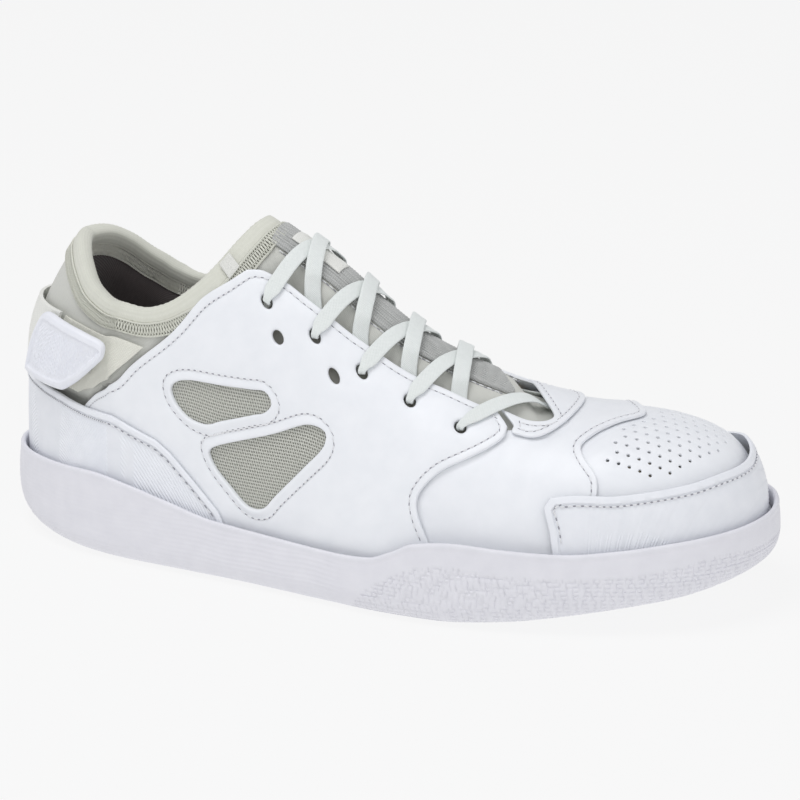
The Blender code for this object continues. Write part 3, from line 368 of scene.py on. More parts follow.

# %% [markdown]
# ## Stitches
# A lockstitch shows as short white threads with a small dark needle hole at each end. Both are modelled:
# a thread is a little arched capsule lying in a shallow channel, and a hole is a flat grey lens between two threads,
# whose colour is painted shade standing for the shade inside the hole.
# A bump map could fake the row, but it would vanish at the silhouette and in close views.

# %% Stitch rows along pattern lines
STITCH = 2.75      # mm from one needle hole to the next
def capsules(name, C, U, H, finish, length, thick, lift, body, **more):
    s = np.array([-1, -.72, 0, .72, 1])
    r = np.array([.25, .85, 1, .85, .25]) * thick
    arch = np.array([-.1, .6, 1, .6, -.1]) * lift
    ph = np.arange(6) * pi / 3; W = np.stack([-U[:, 1], U[:, 0]], -1)
    XY = C[:, None, None] + U[:, None, None] * (s * length / 2)[None, :, None, None] + W[:, None,
            None] * (r[:, None] * np.cos(ph))[None, :, :, None]
    t = H[:, None, None] + (arch[:, None] + r[:, None] * np.sin(ph))[None]
    V = wrap(XY.reshape(-1, 2), t.ravel()); F = []; k = np.arange(6)
    for i in range(len(C)):
        b = i * 30
        for j in range(4):
            F += [(b + j * 6 + q, b + j * 6 + (q + 1) % 6, b + j * 6 + 6 + (q + 1) % 6, b + j * 6 + 6 + q) for q in k]
        F += [tuple(b + k[::-1]), tuple(b + 24 + k)]
    return make(name, V, [tuple(int(v) for v in f) for f in F], finish, body=body, uv=XY.reshape(-1, 2), **more)

def stitch(name, lines, height, keep=None, body="shoe", pitch=STITCH):
    C, U = [], []
    for L, closed in lines:
        q = resample(L, pitch, closed); t = np.roll(q, -1, 0) - np.roll(q, 1, 0) if closed else np.gradient(q, axis=0)
        if not closed: q, t = q[1:-1], t[1:-1]
        C.append(q); U.append(t / np.maximum(np.linalg.norm(t, axis=1), 1e-9)[:, None])
    C, U = np.vstack(C), np.vstack(U)
    if keep is not None: k = keep(C[:, 0], C[:, 1]); C, U = C[k], U[k]
    H = height(C[:, 0], C[:, 1]) if callable(height) else np.full(len(C), float(height))
    capsules("thread_" + name, C, U, H, thread, pitch * .64, .27, .16, body)
    # the needle holes are flat grey lenses whose colour is painted shade
    M = C + U * pitch / 2
    capsules("painted_needle_hole_shade_" + name, M, U, H + .01, painted_hole_shade, pitch * .42, .25, -.12, body)
def above_sole(x, y): p = surf(x, y); return p[:, 2] > RIM(p[:, 0]) + 1.2

# %% [markdown]
# ## Materials: leather
# The uppers are coated leather: a thin white finish over grain, smooth and slightly cool, with a soft gloss. The
# grain is about half a millimetre across, so only the highlights show it. Colour is broken up a little where
# hands and feet rub. IOR 1.5 is that of the clear polyurethane coat.

# %% Pattern coordinates and a bump helper shared by the finishes
def pattern(t, mm=1.0, turn=0.):
    """pattern coordinates, one unit for each `mm` millimetres"""
    u = add(t, "ShaderNodeUVMap", uv_map="pattern")
    return add(t, "ShaderNodeMapping", {0: u.outputs[0], "Rotation": (0, 0, turn), "Scale": (1000 / mm,) * 3}).outputs[0]
def space(t, mm=1.0):
    return add(t, "ShaderNodeMapping", {0: add(t, "ShaderNodeTexCoord").outputs["Object"],
            "Scale": (1000 / mm,) * 3}).outputs[0]
def tint(t, fac, dark, light):
    r = add(t, "ShaderNodeValToRGB", {0: fac})
    r.color_ramp.elements[0].color = linear(dark)
    r.color_ramp.elements[1].color = linear(light)
    return r.outputs[0]
def finish_with(t, out, color, rough, height, depth_mm, **sockets):
    b = add(t, "ShaderNodeBsdfPrincipled", {"Base Color": color, "Roughness": rough, "Metallic": 0.})
    for k, v in sockets.items(): b.inputs[k.replace("_", " ")].default_value = v
    if height is not None: t.links.new(add(t, "ShaderNodeBump",
            {"Height": height, "Strength": 1., "Distance": depth_mm * .001}).outputs[0], b.inputs["Normal"])
    t.links.new(b.outputs[0], out.inputs[0])

# %% Coated full-grain leather
leather, t, out = new_material("coated_full_grain_leather")
grain = add(t, "ShaderNodeTexVoronoi", {0: space(t, .75)}, feature="SMOOTH_F1")
rub = add(t, "ShaderNodeTexNoise", {0: space(t, 34), "Detail": 5.})
finish_with(t, out, tint(t, rub.outputs[0], "#E9ECF1", "#F4F6FA"), .4, grain.outputs[0], .03, IOR=1.5, Coat_Weight=.12,
        Coat_Roughness=.3)

# %% Embossed synthetic leather and moulded tab plastic
embossed, t, out = new_material("embossed_synthetic_leather")
fine = add(t, "ShaderNodeTexNoise", {0: space(t, .5), "Detail": 3.})
rub = add(t, "ShaderNodeTexNoise", {0: space(t, 26), "Detail": 4.})
finish_with(t, out, tint(t, rub.outputs[0], "#E5E8EE", "#F1F3F8"), .48, fine.outputs[0], .012, IOR=1.5)
tab_plastic, t, out = new_material("moulded_polyurethane")
fine = add(t, "ShaderNodeTexNoise", {0: space(t, .7), "Detail": 2.})
rub = add(t, "ShaderNodeTexNoise", {0: space(t, 20), "Detail": 4.})
finish_with(t, out, tint(t, rub.outputs[0], "#E6E8F0", "#F0F2F8"), .42, fine.outputs[0], .008, IOR=1.5)

# %% [markdown]
# ## Materials: rubber, knits, webbing and thread
# The cup is moulded rubber, a touch greyer than the leather and quite matt, since the mould was etched. Knits and
# webbing are many small loops: a wave pattern at the real loop spacing gives them their grain, and a little sheen
# gives the bright, soft edge that cloth has.

# %% Moulded rubber
rubber, t, out = new_material("moulded_white_rubber")
etched = add(t, "ShaderNodeTexNoise", {0: space(t, .45), "Detail": 3.})
dust = add(t, "ShaderNodeTexNoise", {0: space(t, 30), "Detail": 5.})
finish_with(t, out, tint(t, dust.outputs[0], "#DEDEE5", "#E9E9EF"), .55, etched.outputs[0], .014, IOR=1.52)

# %% Cloths
def cloth(name, dark, light, loop_mm, depth_mm, turn=0., rough=.85, sheen=.15, stretch=1.):
    """a knit or weave: two crossed waves at the loop spacing, which also colour the dips between loops darker as
    painted shade; a few threads lighter or darker than the rest
    """
    m, t, out = new_material(name); uv = pattern(t, loop_mm, turn)
    uv = add(t, "ShaderNodeMapping", {0: uv, "Scale": (1., stretch, 1.)}).outputs[0]
    a = add(t, "ShaderNodeTexWave", {0: uv, "Scale": .318, "Distortion": .6, "Detail": 1.}, bands_direction="X")
    b = add(t, "ShaderNodeTexWave", {0: uv, "Scale": .318, "Distortion": .6, "Detail": 1.}, bands_direction="Y")
    loops = add(t, "ShaderNodeMath", {0: a.outputs[1], 1: b.outputs[1]}, operation="MULTIPLY").outputs[0]
    slub = add(t, "ShaderNodeTexNoise", {0: uv, "Scale": .35, "Detail": 3.}).outputs[0]
    fac = add(t, "ShaderNodeMath", {0: loops, 1: .6, 2: add(t, "ShaderNodeMath", {0: slub, 1: .45},
            operation="MULTIPLY").outputs[0]}, operation="MULTIPLY_ADD").outputs[0]
    # the colour follows the loop bump, so its dips are painted shade; the slub noise is random tone of the yarn
    finish_with(t, out, tint(t, fac, dark, light), rough, loops, depth_mm, Sheen_Weight=sheen, Sheen_Roughness=.5)
    return m
neoprene = cloth("knit_faced_neoprene", "#C6C7C1", "#DADBD5", .55, .04)
binding = cloth("elastic_binding", "#D2D3C8", "#E4E5DB", .6, .07, stretch=.5)
lining = cloth("brushed_knit_lining", "#3B3434", "#585050", .9, .1, sheen=.4)
# painted shade: a darker knit for the shade between the flatlock seam's yarns
seam_shade_ground = cloth("seam_painted_shade_knit", "#9A9A92", "#B2B2AA", .5, .04)
net_thread = cloth("window_net_yarn", "#C6C7BF", "#DEDFD7", .3, .02)
net_backing = cloth("net_backing", "#A6A69E", "#BBBBB3", .6, .05)
rib_knit = cloth("ribbed_knit", "#A9ABAA", "#D9DAD8", .7, .12, stretch=1.6)
webbing = cloth("woven_polyester_webbing", "#E2E3DE", "#F6F6F2", .8, .12, turn=.8)
cream_web = cloth("cream_webbing", "#DCDCD2", "#ECECE2", .8, .12, turn=.8)
lace_weave = cloth("flat_woven_lace", "#DFE5E3", "#F5F8F7", .55, .1, turn=.785)
thread = cloth("bonded_polyester_thread", "#DEDFE2", "#F2F3F5", .2, .02, rough=.6)
sock_cloth = cloth("sockliner_cloth", "#6E6866", "#8A8482", .9, .08)
hook_cloth = cloth("hook_tape", "#DDDED8", "#F0F0EC", .8, .35)
loop_cloth = cloth("loop_tape", "#D8D9D2", "#EEEEE9", .5, .3)
board = cloth("fibre_board", "#B7AD99", "#CEC5B3", 1.2, .03)
foam_stuff = cloth("closed_cell_foam", "#E2E2DC", "#F0F0EA", .6, .03)
# painted shade: a flat grey colour stands for the shade inside each needle hole
painted_hole_shade, t, out = new_material("needle_hole_shadow")
fuzz = add(t, "ShaderNodeTexNoise", {0: space(t, .3), "Detail": 2.})
finish_with(t, out, tint(t, fuzz.outputs[0], "#8B8B93", "#A3A3AA"), .9, fuzz.outputs[0], .02)

# %% [markdown]
# ## The rubber cup sole
# The sole is one moulding: a cup with a thin lip, lasted to the upper. Its wall is swept round the outline from a
# profile of heights. The front half carries a brick-like relief pressed into the wall, the back half fine ripples,
# and the underside a tread of short bars, all as real geometry, because they catch the light at the edge of the shape.

# %% The cup's wall, swept round the outline
def sole_line(o, n_of):
    P = resample(SOLE, .12)
    s = np.concatenate([[0], np.cumsum(np.linalg.norm(np.diff(np.vstack([P, P[:1]]), axis=0), axis=1))])
    x = np.interp(n_of * s[-1], s, np.append(P[:, 0], P[0, 0]))
    y = np.interp(n_of * s[-1], s, np.append(P[:, 1], P[0, 1]))
    n = normals2d(P)
    n = np.stack([np.convolve(np.r_[n[-20:, k], n[:, k], n[:20, k]], np.ones(41) / 41, "valid") for k in (0, 1)], -1)
    nx = np.interp(n_of * s[-1], s, np.append(n[:, 0], n[0, 0]))
    ny = np.interp(n_of * s[-1], s, np.append(n[:, 1], n[0, 1]))
    l = np.hypot(nx, ny); sgn = 1 if (offset(P, 1)[0] - P[0]) @ n[0] > 0 else -1
    return x, y, sgn * nx / l, sgn * ny / l, s[-1]
NA = 1700
u = np.arange(NA) / NA; sx0, sy0, snx, sny, girth = sole_line(0, u)
g, r, b = GROUND(sx0), RIM(sx0), BASE(sx0)
KEYS = [(-8, g), (-5.2, g + .35), (-3.2, g + 1.1), (-1.6, g + 2.6), (-.6, g + 4.6), (-.15, g + 7), (0, g + (r - g) * .42), (-.15, g + (r - g) * .62), (-.45, g + (r - g) * .78),
        (-.75, r - 2.6), (-.95, r - 2.0), (-.6, r - 1.5), (-.7, r - .7), (-1.1, r - .2), (-1.9, r), (-2.5, r - .4), (-2.75, r - 1.2), (-2.8, b - 2)]
key = np.stack([np.stack([np.full(NA, k[0]), k[1]], -1) for k in KEYS])          # key, place, (offset, height)
lens = np.concatenate([[0], np.cumsum(np.linalg.norm(np.diff(key, axis=0), axis=2).mean(1))])
NL = 84; at = np.linspace(0, lens[-1], NL); prof = np.stack([[np.interp(at, lens, key[:, i, c]) for i in range(NA)] for c in (0,
        1)], -1)   # place, level, (offset, height)
for _ in range(2): prof[:, 1:-1] = (prof[:, :-2] + 2 * prof[:, 1:-1] + prof[:, 2:]) / 4
print("sole girth", round(girth), "mm, wall points", prof.shape)

# %% Relief on the wall, tread under it
s_mm = (u * girth)[:, None] * np.ones((1, NL)); z = prof[..., 1]; X0 = sx0[:, None] * np.ones((1, NL))
TOP_OF_BRICKS = curve([(140, -20), (152, 4), (162, 13), (177, 20.5), (187, 22), (201, 21), (219, 20.6), (244, 21.6),
        (260, 24.5), (274, 27), (285, 26)])
brick = step(.3, -.5, z - TOP_OF_BRICKS(X0)) * step(146, 152, X0)
row = np.floor(z / 1.5)
f_z = abs(z / 1.5 - row - .5) * 2
col = s_mm / 2.1 + .5 * (row % 2) + .25 * np.sin(row * 2.4)
f_s = abs(col - np.floor(col) - .5) * 2
joint = np.maximum(step(.62, .98, f_z), step(.72, 1., f_s))
wall = step(0, 6, np.arange(NL))[None] * step(NL - 8, NL - 22, np.arange(NL))[None]
rise = -.45 * joint * brick * wall
waves = step(150, 140, X0) * step(.7, 3, z - g[:, None]) * step(1.2, 3.5, r[:, None] - z)
rise = rise + .07 * waves * np.sin(z * 2 * pi / 1.7 + 1.3 * np.sin(s_mm / 9.) + .8 * np.sin(s_mm / 3.7))
o = prof[..., 0] + rise
V = np.stack([sx0[:, None] + snx[:, None] * o, sy0[:, None] + sny[:, None] * o, z], -1).reshape(-1, 3)
i, j = np.meshgrid(np.arange(NA), np.arange(NL - 1), indexing="ij"); i2 = (i + 1) % NA
Q = np.stack([i * NL + j, i2 * NL + j, i2 * NL + j + 1, i * NL + j + 1], -1).reshape(-1, 4)
def cap(idx, height, grid):
    L = V[idx][:, :2]
    P, F = triangulate([L], grid, (), None)
    who = {tuple(p): int(i) for p, i in zip(L.round(3), idx)}
    at_rim = np.array([who.get(tuple(p), -1) for p in P.round(3)]); free = at_rim < 0
    at_rim[free] = len(V) + np.arange(free.sum()); q = P[free]
    return at_rim[F].tolist(), np.column_stack([q, height(q[:, 0], q[:, 1])])
def saw(v): return abs(v - np.floor(v) - .5) * 2
def tread(x, y):
    """grooves of a flat pivoting tread: short bars across, rings under the ball of the foot, a clear band at the edge"""
    hub = np.hypot(x - 205, y)
    bars = step(.55, .8, saw((x + .25 * abs(y - 3)) / 7))
    rounds = step(.5, .8, saw(hub / 6))
    return GROUND(x) + .9 * np.where(hub < 31, rounds, bars) * inside(offset(SOLE, -13), x, y)
under, new = cap(np.arange(NA) * NL, tread, 1.7); V = np.vstack([V, new])
F = Q.tolist() + under
lid, new = cap(np.arange(NA) * NL + NL - 1, lambda x, y: BASE(x) - 2.4, 9.); V = np.vstack([V, new])
make("cup_sole", V, F + lid, rubber, stands_for=("outsole",), uv=V[:, :2], sharp=50)

# %% [markdown]
# ## Inside the shoe
# Under the foot lies a thin foam sock with a cloth face, rounded at its edge. The stretch bootie is one neoprene
# shell from heel to toe with an opening for the foot, and a brushed knit lining is bonded to its inside.

# %% Sockliner
def flat_pad(name, o, z0, z1, soft, finish, **more):
    levels = [(o - soft, z0, 0), (o, z0, soft * .6)] + [(o - soft * (1 - cos(a)), z1,
            -soft * (1 - sin(a))) for a in np.linspace(.2, pi / 2, 5)]
    base = resample(SOLE, 2.2); n = offset(base, 1) - base; V = []
    for off, z_, dz in levels: q = base + n * off; V.append(np.column_stack([q, BASE(q[:, 0]) + z_ + dz]))
    k = len(base)
    V = np.vstack(V)
    F = [(a * k + i, a * k + (i + 1) % k, (a + 1) * k + (i + 1) % k,
            (a + 1) * k + i) for a in range(len(levels) - 1) for i in range(k)]
    for a, zf, flip in ((0, z0, True), (len(levels) - 1, z1, False)):
        P, C = triangulate([V[a * k:a * k + k, :2]], 6., (), None)
        who = {tuple(p): a * k + i for i, p in enumerate(V[a * k:a * k + k, :2].round(3))}
        m = np.array([who.get(tuple(p), -1) for p in P.round(3)])
        free = m < 0
        m[free] = len(V) + np.arange(free.sum())
        V = np.vstack([V, np.column_stack([P[free], BASE(P[free][:, 0]) + zf])])
        C = m[C]
        F += (C[:, ::-1] if flip else C).tolist()
    return make(name, V, F, finish, uv=V[:, :2], **more)
sock = flat_pad("sockliner_foam", -14.1, .3, 4.3, 1.6, sock_cloth, stands_for=("sockliner",))

# %% The mouth of the shoe
top_rows = [heel(-180 + .01), heel(-160), heel(-140), heel(-120), heel(-100), latx(57), latx(66), latx(75), latx(82), latx(88),
        latx(93), latx(96.5)]
half = at_z(top_rows, [111.5, 110, 105, 98.5, 94, 92, 93.5, 98, 103.5, 110, 117, 122])
other = half.copy(); other[:, 1] = 2 * SPY(np.clip(other[:, 0], HX, TX)) - other[:, 1]
TOPLINE = spline(np.vstack([half, [(98.5, SPY(98.5))], other[:0:-1]]), 12)
mouth = resample(offset(TOPLINE, 2.4), 2.)
def lining_top(x, y): return -7.2 + 3 * step(16, 5, near([TOPLINE], x, y))      # thins to the rim
def puckers(x, y):
    """soft waves where the neoprene is held by the seam"""
    d = near([TOPLINE], x, y)
    return .16 * np.sin(x * .9 + y * 1.3) * step(12, 6, d) * step(3, 6, d) + .12 * np.sin(x / 9 + y / 7)
panel("neoprene_bootie", hem(0, NR - 4, up=2.0), bootie_out, 1.6, neoprene, [mouth], grid=2.8, edge=3., relief=puckers,
        stands_for=("bootie",))
panel("knit_lining", np.vstack([hem(medx(168), NR + latx(168), up=2.0), [(168, y) for y in np.linspace(-85, 78, 40)]]),
        lining_top, 1.1, lining, [mouth], grid=3.2, edge=3., stands_for=("lining",))

# %% [markdown]
# ## Collar binding and flatlock seam
# The raw edge of bootie and lining is wrapped in a soft elastic tape. Its section is a rounded hairpin, swept round
# the mouth. Below it a flatlock seam joins the tape to the neoprene: a zigzag of thick thread between two rows.

# %% Binding, a hairpin section swept round the mouth
line = resample(TOPLINE, 1.4); out_n = offset(line, 1) - line
for _ in range(4): out_n = (np.roll(out_n, 1, 0) + 2 * out_n + np.roll(out_n, -1, 0)) / 4
top_t = bootie_out(*(line + out_n * 4).T) + .5; mid = (top_t - 5.9) / 2; half_t = (top_t + 5.9) / 2
sec = [(5.3, .82), (5.1, .97), (4.6, 1.04), (3.2, 1.06), (1.8, 1.03)] + [(1.2 - 1.5 * sin(a), cos(a)) for a in np.linspace(.25,
        pi - .25, 9)] + [(1.8, -1.03), (3.2, -1.05), (4.6, -1.03), (5.1, -.95), (5.3, -.8), (4.0, -.6), (3.2, 0.), (4.0, .6)]
V, UV = [], []
for k, (d, h) in enumerate(sec):
    q = line + out_n * d
    V.append(wrap(q, mid + half_t * h))
    UV.append(np.column_stack([np.arange(len(line)) * 1.4, np.full(len(line), k * 1.)]))
V = np.stack(V, 1); n, m = V.shape[:2]
gather = .1 * np.sin(np.arange(n) * 1.4 * 2 * pi / 3.1)[:, None,
        None] * np.array([1 if 1 < k < 16 else 0 for k in range(m)])[None, :, None]
V = V + gather * (V - V.mean(1, keepdims=True)) / np.linalg.norm(V - V.mean(1, keepdims=True), axis=2, keepdims=True)
F = [(i * m + j, ((i + 1) % n) * m + j, ((i + 1) % n) * m + (j + 1) % m,
        i * m + (j + 1) % m) for i in range(n) for j in range(m)]
tape = make("elastic_collar_binding", V.reshape(-1, 3), F, binding, stands_for=("collar_binding",),
        uv=np.stack(UV, 1).reshape(-1, 2), sharp=80)

# %% Cords of thread along a line on the last
def yarn(name, lines, finish, radius, sides=6, body="shoe", squash=1., **more):
    """tubes: each line is (pattern points, heights, closed)"""
    V, F, UV = [], [], []; ph = np.arange(sides) * 2 * pi / sides; base = 0
    for P, h, closed in lines:
        w = normals2d(P, closed); n = len(P)
        XY = P[:, None] + w[:, None] * (radius * np.cos(ph))[None, :, None]
        t = np.asarray(h)[:, None] + (radius * squash * np.sin(ph))[None]
        V.append(wrap(XY.reshape(-1, 2), t.ravel()))
        s = np.arange(n) * 1.
        UV.append(np.stack([np.repeat(s, sides), np.tile(ph * radius, n)], -1))
        i = np.arange(n if closed else n - 1)[:, None] * sides; k = np.arange(sides)[None]
        i2 = (i + sides) % (n * sides)
        q = np.stack([i + k, i + (k + 1) % sides, i2 + (k + 1) % sides, i2 + k], -1).reshape(-1, 4) + base
        F += q.tolist()
        if not closed: F += [(base + np.arange(sides)[::-1]).tolist(), (base + (n - 1) * sides + np.arange(sides)).tolist()]
        base += n * sides
    return make(name, np.vstack(V), F, finish, body=body, uv=np.vstack(UV), sharp=70, **more)

# %% The flatlock seam, outside and inside
def flatlock(name, where, height, finish, width=3.0, pitch=2.0, inner=False):
    base = resample(where, pitch / 4); n2 = offset(base, 1) - base
    for _ in range(3): n2 = (np.roll(n2, 1, 0) + 2 * n2 + np.roll(n2, -1, 0)) / 4
    k = np.arange(len(base)); zz = np.abs((k / 4.) % 1 - .5) * 2 - .5; lines = []
    for phase in (0, .5):
        zz = (np.abs((k / 4. + phase) % 1 - .5) * 2 - .5) * width; q = base + n2 * zz[:, None]
        lines.append((q, height(q[:, 0], q[:, 1]) + (-1 if inner else 1) * (.22 + .1 * np.cos(k * pi / 2 + phase * 6)), True))
    for o in (-width / 2 - .2, width / 2 + .2):
        q = base + n2 * o
        lines.append((q, height(q[:, 0], q[:, 1]) + (-1 if inner else 1) * (.12 + .12 * np.cos(k * pi / 2)), True))
    yarn(name, lines, finish, .4)
seam_line = offset(TOPLINE, 7.4)
# a darker strip under the flatlock seam: painted shade between the seam's yarns
panel("seam_painted_shade_tape", resample(offset(TOPLINE, 9.9), 1.6), lambda x, y: bootie_out(x, y) + .4, .3, seam_shade_ground,
        [resample(offset(TOPLINE, 5.5), 1.6)], grid=1.8, edge=1.6, soft=.1, rings=(.1,))
flatlock("flatlock_seam_outside", seam_line, lambda x, y: bootie_out(x, y) + .62, binding, width=3.8, pitch=2.5)
flatlock("flatlock_seam_inside", offset(TOPLINE, 7.4), lambda x, y: lining_top(x, y) - 1.15, cream_web, width=3.6, pitch=2.3,
        inner=True)

# %% [markdown]
# ## Tongue
# The middle of the tongue is a thick ribbed knit. Its ribs run lengthwise and show as dark valleys, so they are
# modelled: a strip of fine mesh with a rib every millimetre and a half and small loops along each rib.

# %% Faces of a thin sheet, and the ribbed knit panel
def sheet_faces(rows_, cols):
    """faces of a thin sheet: a grid of points, its copy below, and the wall round the edge"""
    i, j = np.meshgrid(np.arange(rows_ - 1), np.arange(cols - 1), indexing="ij")
    q = np.stack([i * cols + j, (i + 1) * cols + j, (i + 1) * cols + j + 1, i * cols + j + 1], -1).reshape(-1, 4)
    rim_ = np.r_[np.arange(rows_) * cols, (rows_ - 1) * cols + np.arange(1, cols),
                 np.arange(rows_ - 1)[::-1] * cols + cols - 1, np.arange(1, cols - 1)[::-1]]
    N = rows_ * cols; wall_ = np.stack([rim_, rim_ + N, np.roll(rim_, -1) + N, np.roll(rim_, -1)], -1)
    return np.vstack([q, q[:, ::-1] + N, wall_])

nu, nv = 113, 190
a, b = np.meshgrid(np.linspace(-1, 1, nu), np.linspace(0, 1, nv), indexing="ij")
xa = 104.5; Y_off = a * 10.3; xb = np.minimum(194, 198 - .64 * (Y_off + SPY(190) + 14)) - 1
X = xa + (xb - xa) * b; Yc = SPY(X) + Y_off * (1 - .2 * (X - 105) / 89)
ribs = .5 - .5 * np.cos(Y_off * 2 * pi / 1.6); loops_ = np.cos(X * 2 * pi / 1.05 + pi * np.floor(Y_off / 1.6))
t = rib_base(X, Yc) + .05 + .95 * ribs ** .7 + .1 * loops_ * ribs - .5 * step(.94, 1, abs(a))
P = np.stack([X, Yc], -1).reshape(-1, 2); topv = wrap(P, t.ravel()); botv = wrap(P, (rib_base(X, Yc) - .3).ravel())
make("ribbed_tongue_panel", np.vstack([topv, botv]), sheet_faces(nu, nv), rib_knit, stands_for=("tongue_rib_panel",),
        uv=np.vstack([P, P]), sharp=70)
both_edges = [(np.array([(x, SPY(x) + m * (11.2 * (1 - .2 * (x - 105) / 89))) for x in np.arange(106, 192, 1.)]),
        m) for m in (-1, 1)]
stitch("tongue", [(p, False) for p, m in both_edges], lambda x, y: bootie_out(x, y) + .15)

# %% Lace keeper
def spine(x0, x1, w0, w1, n=12):
    xs = np.linspace(x0, x1, n); w = w0 + (w1 - w0) * (xs - x0) / (x1 - x0)
    return np.vstack([np.column_stack([xs, SPY(xs) - w]), np.column_stack([xs[::-1], SPY(xs[::-1]) + w[::-1]])])
panel("lace_keeper_loop", spine(110, 128, 4.5, 4.5), lambda x, y: rib_base(x, y) + 1.4, .45, webbing, grid=1.6, edge=1.2, soft=.25, rings=(.1, .25),
      relief=lambda x, y: .1 * np.cos(x * 2 * pi / 1.4), stands_for=("lace_keeper",))

# %% [markdown]
# ## Leather quarters
# Each quarter is one cut of leather from heel to eyelets, with two windows. Its edge is skived thin and turned, so it
# rounds over; the windows have a raised turned rim; a stitch row runs inside every edge, in a shallow channel.

# %% Quarter patterns
THROAT_L = [(99, -28), (104, -25), (108, -24.2), (114, -23.6), (121, -24.4), (129, -24.6), (137, -24), (147, -23), (163, -22.5),
        (173, -21.4), (186, -21), (192, -20.6)]
Q_REAR = [(12, -99.5), (31, -97.5), (50, -94.3), (59, -84), (75, -65), (85, -47.5), (94, -35)]
Q_FRONT = [(197, -24.6), (197, -29), (193, -35.6), (187, -42), (179, -50), (174, -57.5), (172, -63), (173, -68), (178, -76)]
WIN_UP = [(75, -86), (76.5, -83), (92, -73), (106, -66), (112, -63.4), (114.5, -65.5), (112.5, -70), (107, -74.4), (95, -84),
        (89, -89.5), (82, -92), (77, -90)]
WIN_LO = [(91, -98), (93, -94.5), (117, -74.8), (131, -62.8), (136, -61.4), (136, -65.5), (129, -79), (118, -96.5), (113, -104),
        (107, -107), (100, -104.5), (93, -101)]
EYELETS = [(108, -34), (127, -34.5), (145, -33), (163, -32), (182, -32.5)]
SPARE = [(114, -43), (136, -41.5)]
def channel(d, at=2.5, w=.75, depth=.26): return -depth * np.exp(-((d - at) / w) ** 2)
def crease(x, y):
    """long soft undulations of leather pulled over a last"""
    return .13 * np.sin(x / 11 + y / 17) + .09 * np.sin(x / 5.3 - y / 9 + 1.)

# %% Quarters, window nets and stitches
NET = 1.05        # mm between the yarns of the window net, drawn a little coarser than the real one so that it shows
def net(name, hole, m):
    a = radians(24) * -m
    U = np.array([cos(a), sin(a)])
    W = np.array([-sin(a), cos(a)])
    wide = offset(hole, 1.6)
    lines = []
    for A, B, odd in ((U, W, 0), (W, U, 1)):
        ca, cb = wide @ A, wide @ B
        for j in np.arange(np.floor(cb.min() / NET), np.ceil(cb.max() / NET) + 1):
            k = np.arange(np.floor(ca.min() / NET * 2), np.ceil(ca.max() / NET * 2) + 1)
            q = A * (k * NET / 2)[:, None] + B * (j * NET)
            ok = inside(wide, q[:, 0], q[:, 1])
            if ok.sum() < 4: continue
            h = -1.62 + .17 * np.cos(pi * (k / 2. + j + odd)) * (k % 2 == 0)
            lines.append((q[ok], h[ok], False))
    yarn(name, lines, net_thread, .27, sides=5, squash=.7)
for tag, m in SIDES:
    r0, r1 = (latx(24), latx(181)) if m < 0 else (medx(24), medx(181))
    cut = np.vstack([spline(side(m, Q_REAR), 6, False), spline(side(m, THROAT_L), 6, False), spline(side(m, Q_FRONT), 6, False),
            hem(r1, r0)])
    windows = [resample(spline(side(m, w), 6), 1.5) for w in (WIN_UP, WIN_LO)]
    eyes = [ring(side(m, [c])[0], 2.25, 22) for c in EYELETS + SPARE]
    def shape(x, y):
        do, dw, de = near([cut], x, y), near(windows, x, y), near(eyes, x, y)
        return channel(do) + channel(dw, 3.1) + .34 * step(2.1, 1.3, dw) - .22 * step(1.3, .2, de) + crease(x, y) * step(3, 8,
                np.minimum(do, dw))
    panel("leather_quarter_" + tag, cut, 0., 1.2, leather, windows + eyes, grid=2.4, edge=1.6, soft=.55, relief=shape,
          rings=[(.12, .3, .55, 1.7, 2.5, 3.3), (.12, .3, .6, 1.3, 2.1, 3.1, 3.9), (.12, .3, .6, 1.3, 2.1, 3.1, 3.9)] + [(.25, .6, 1.3)] * 7, stands_for=("quarter_" + tag,))
    top_d = lambda x, y: np.full(len(x), -.2)
    stitch("quarter_" + tag, [(offset(resample(cut, 1.), -2.5), True)] + [(offset(w, 3.1), True) for w in windows], top_d,
            above_sole)
    back_cut = spline(side(m, [(68, -84), (76, -76), (92, -66), (108, -57.5), (118, -55.5), (137, -55), (143, -60), (142, -70),
            (135, -86), (124, -104), (112, -113.5), (96, -112.5), (84, -104), (72, -95)]), 3)
    panel("net_backing_" + tag, back_cut, -2.1, .5, net_backing, grid=3.5, edge=3., stands_for=("mesh_" + tag,))
    for w, word in zip(windows, ("upper", "lower")): net("net_%s_%s" % (word, tag), w, m)
    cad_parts["eyestay_backer_" + tag].data.materials.clear()
    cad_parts["eyestay_backer_" + tag].data.materials.append(board)

# %% [markdown]
# ## Vamp, throat and toe
# The vamp is one leather cut under the quarters, open over the toes, where a separate perforated panel lets air in.
# Each perforation is a real hole of about a millimetre, punched in straight staggered rows.

# %% Throat overlay and vamp
OPEN_END = [(192, -18.6), (203, -18.4), (208, -15.6), (209.5, -12), (205, -5), (199, 3), (194.5, 9.5), (190.5, 14.5)]
throat_cut = np.vstack([spline(OPEN_END, 6, False), [(193.5, 17), (198.6, 21.5), (199.6, 25.4)],
        spline([(207, 20), (212.5, 12), (214.5, 1), (213.8, -12), (210.5, -20.5), (206, -25), (198.8, -26.2)], 6, False), [(198.8, -23), (194, -19.6)]])
panel("leather_throat_overlay", throat_cut, -.2, .85, leather, grid=1.8, edge=1.2, soft=.4, rings=(.1, .25, .45, 1.5, 2.2, 2.9),
        relief=lambda x, y: channel(near([throat_cut], x, y), 2.2), stands_for=("throat_overlay",))
stitch("throat", [(offset(resample(throat_cut, .8), -2.2), True)], lambda x, y: np.full(len(x), -.42), lambda x,
        y: near([throat_cut], x, y) > 1.9)
v_rear = [(171, -68), (169.5, -60), (173, -54), (182, -45), (190, -37.5), (193.3, -30)]
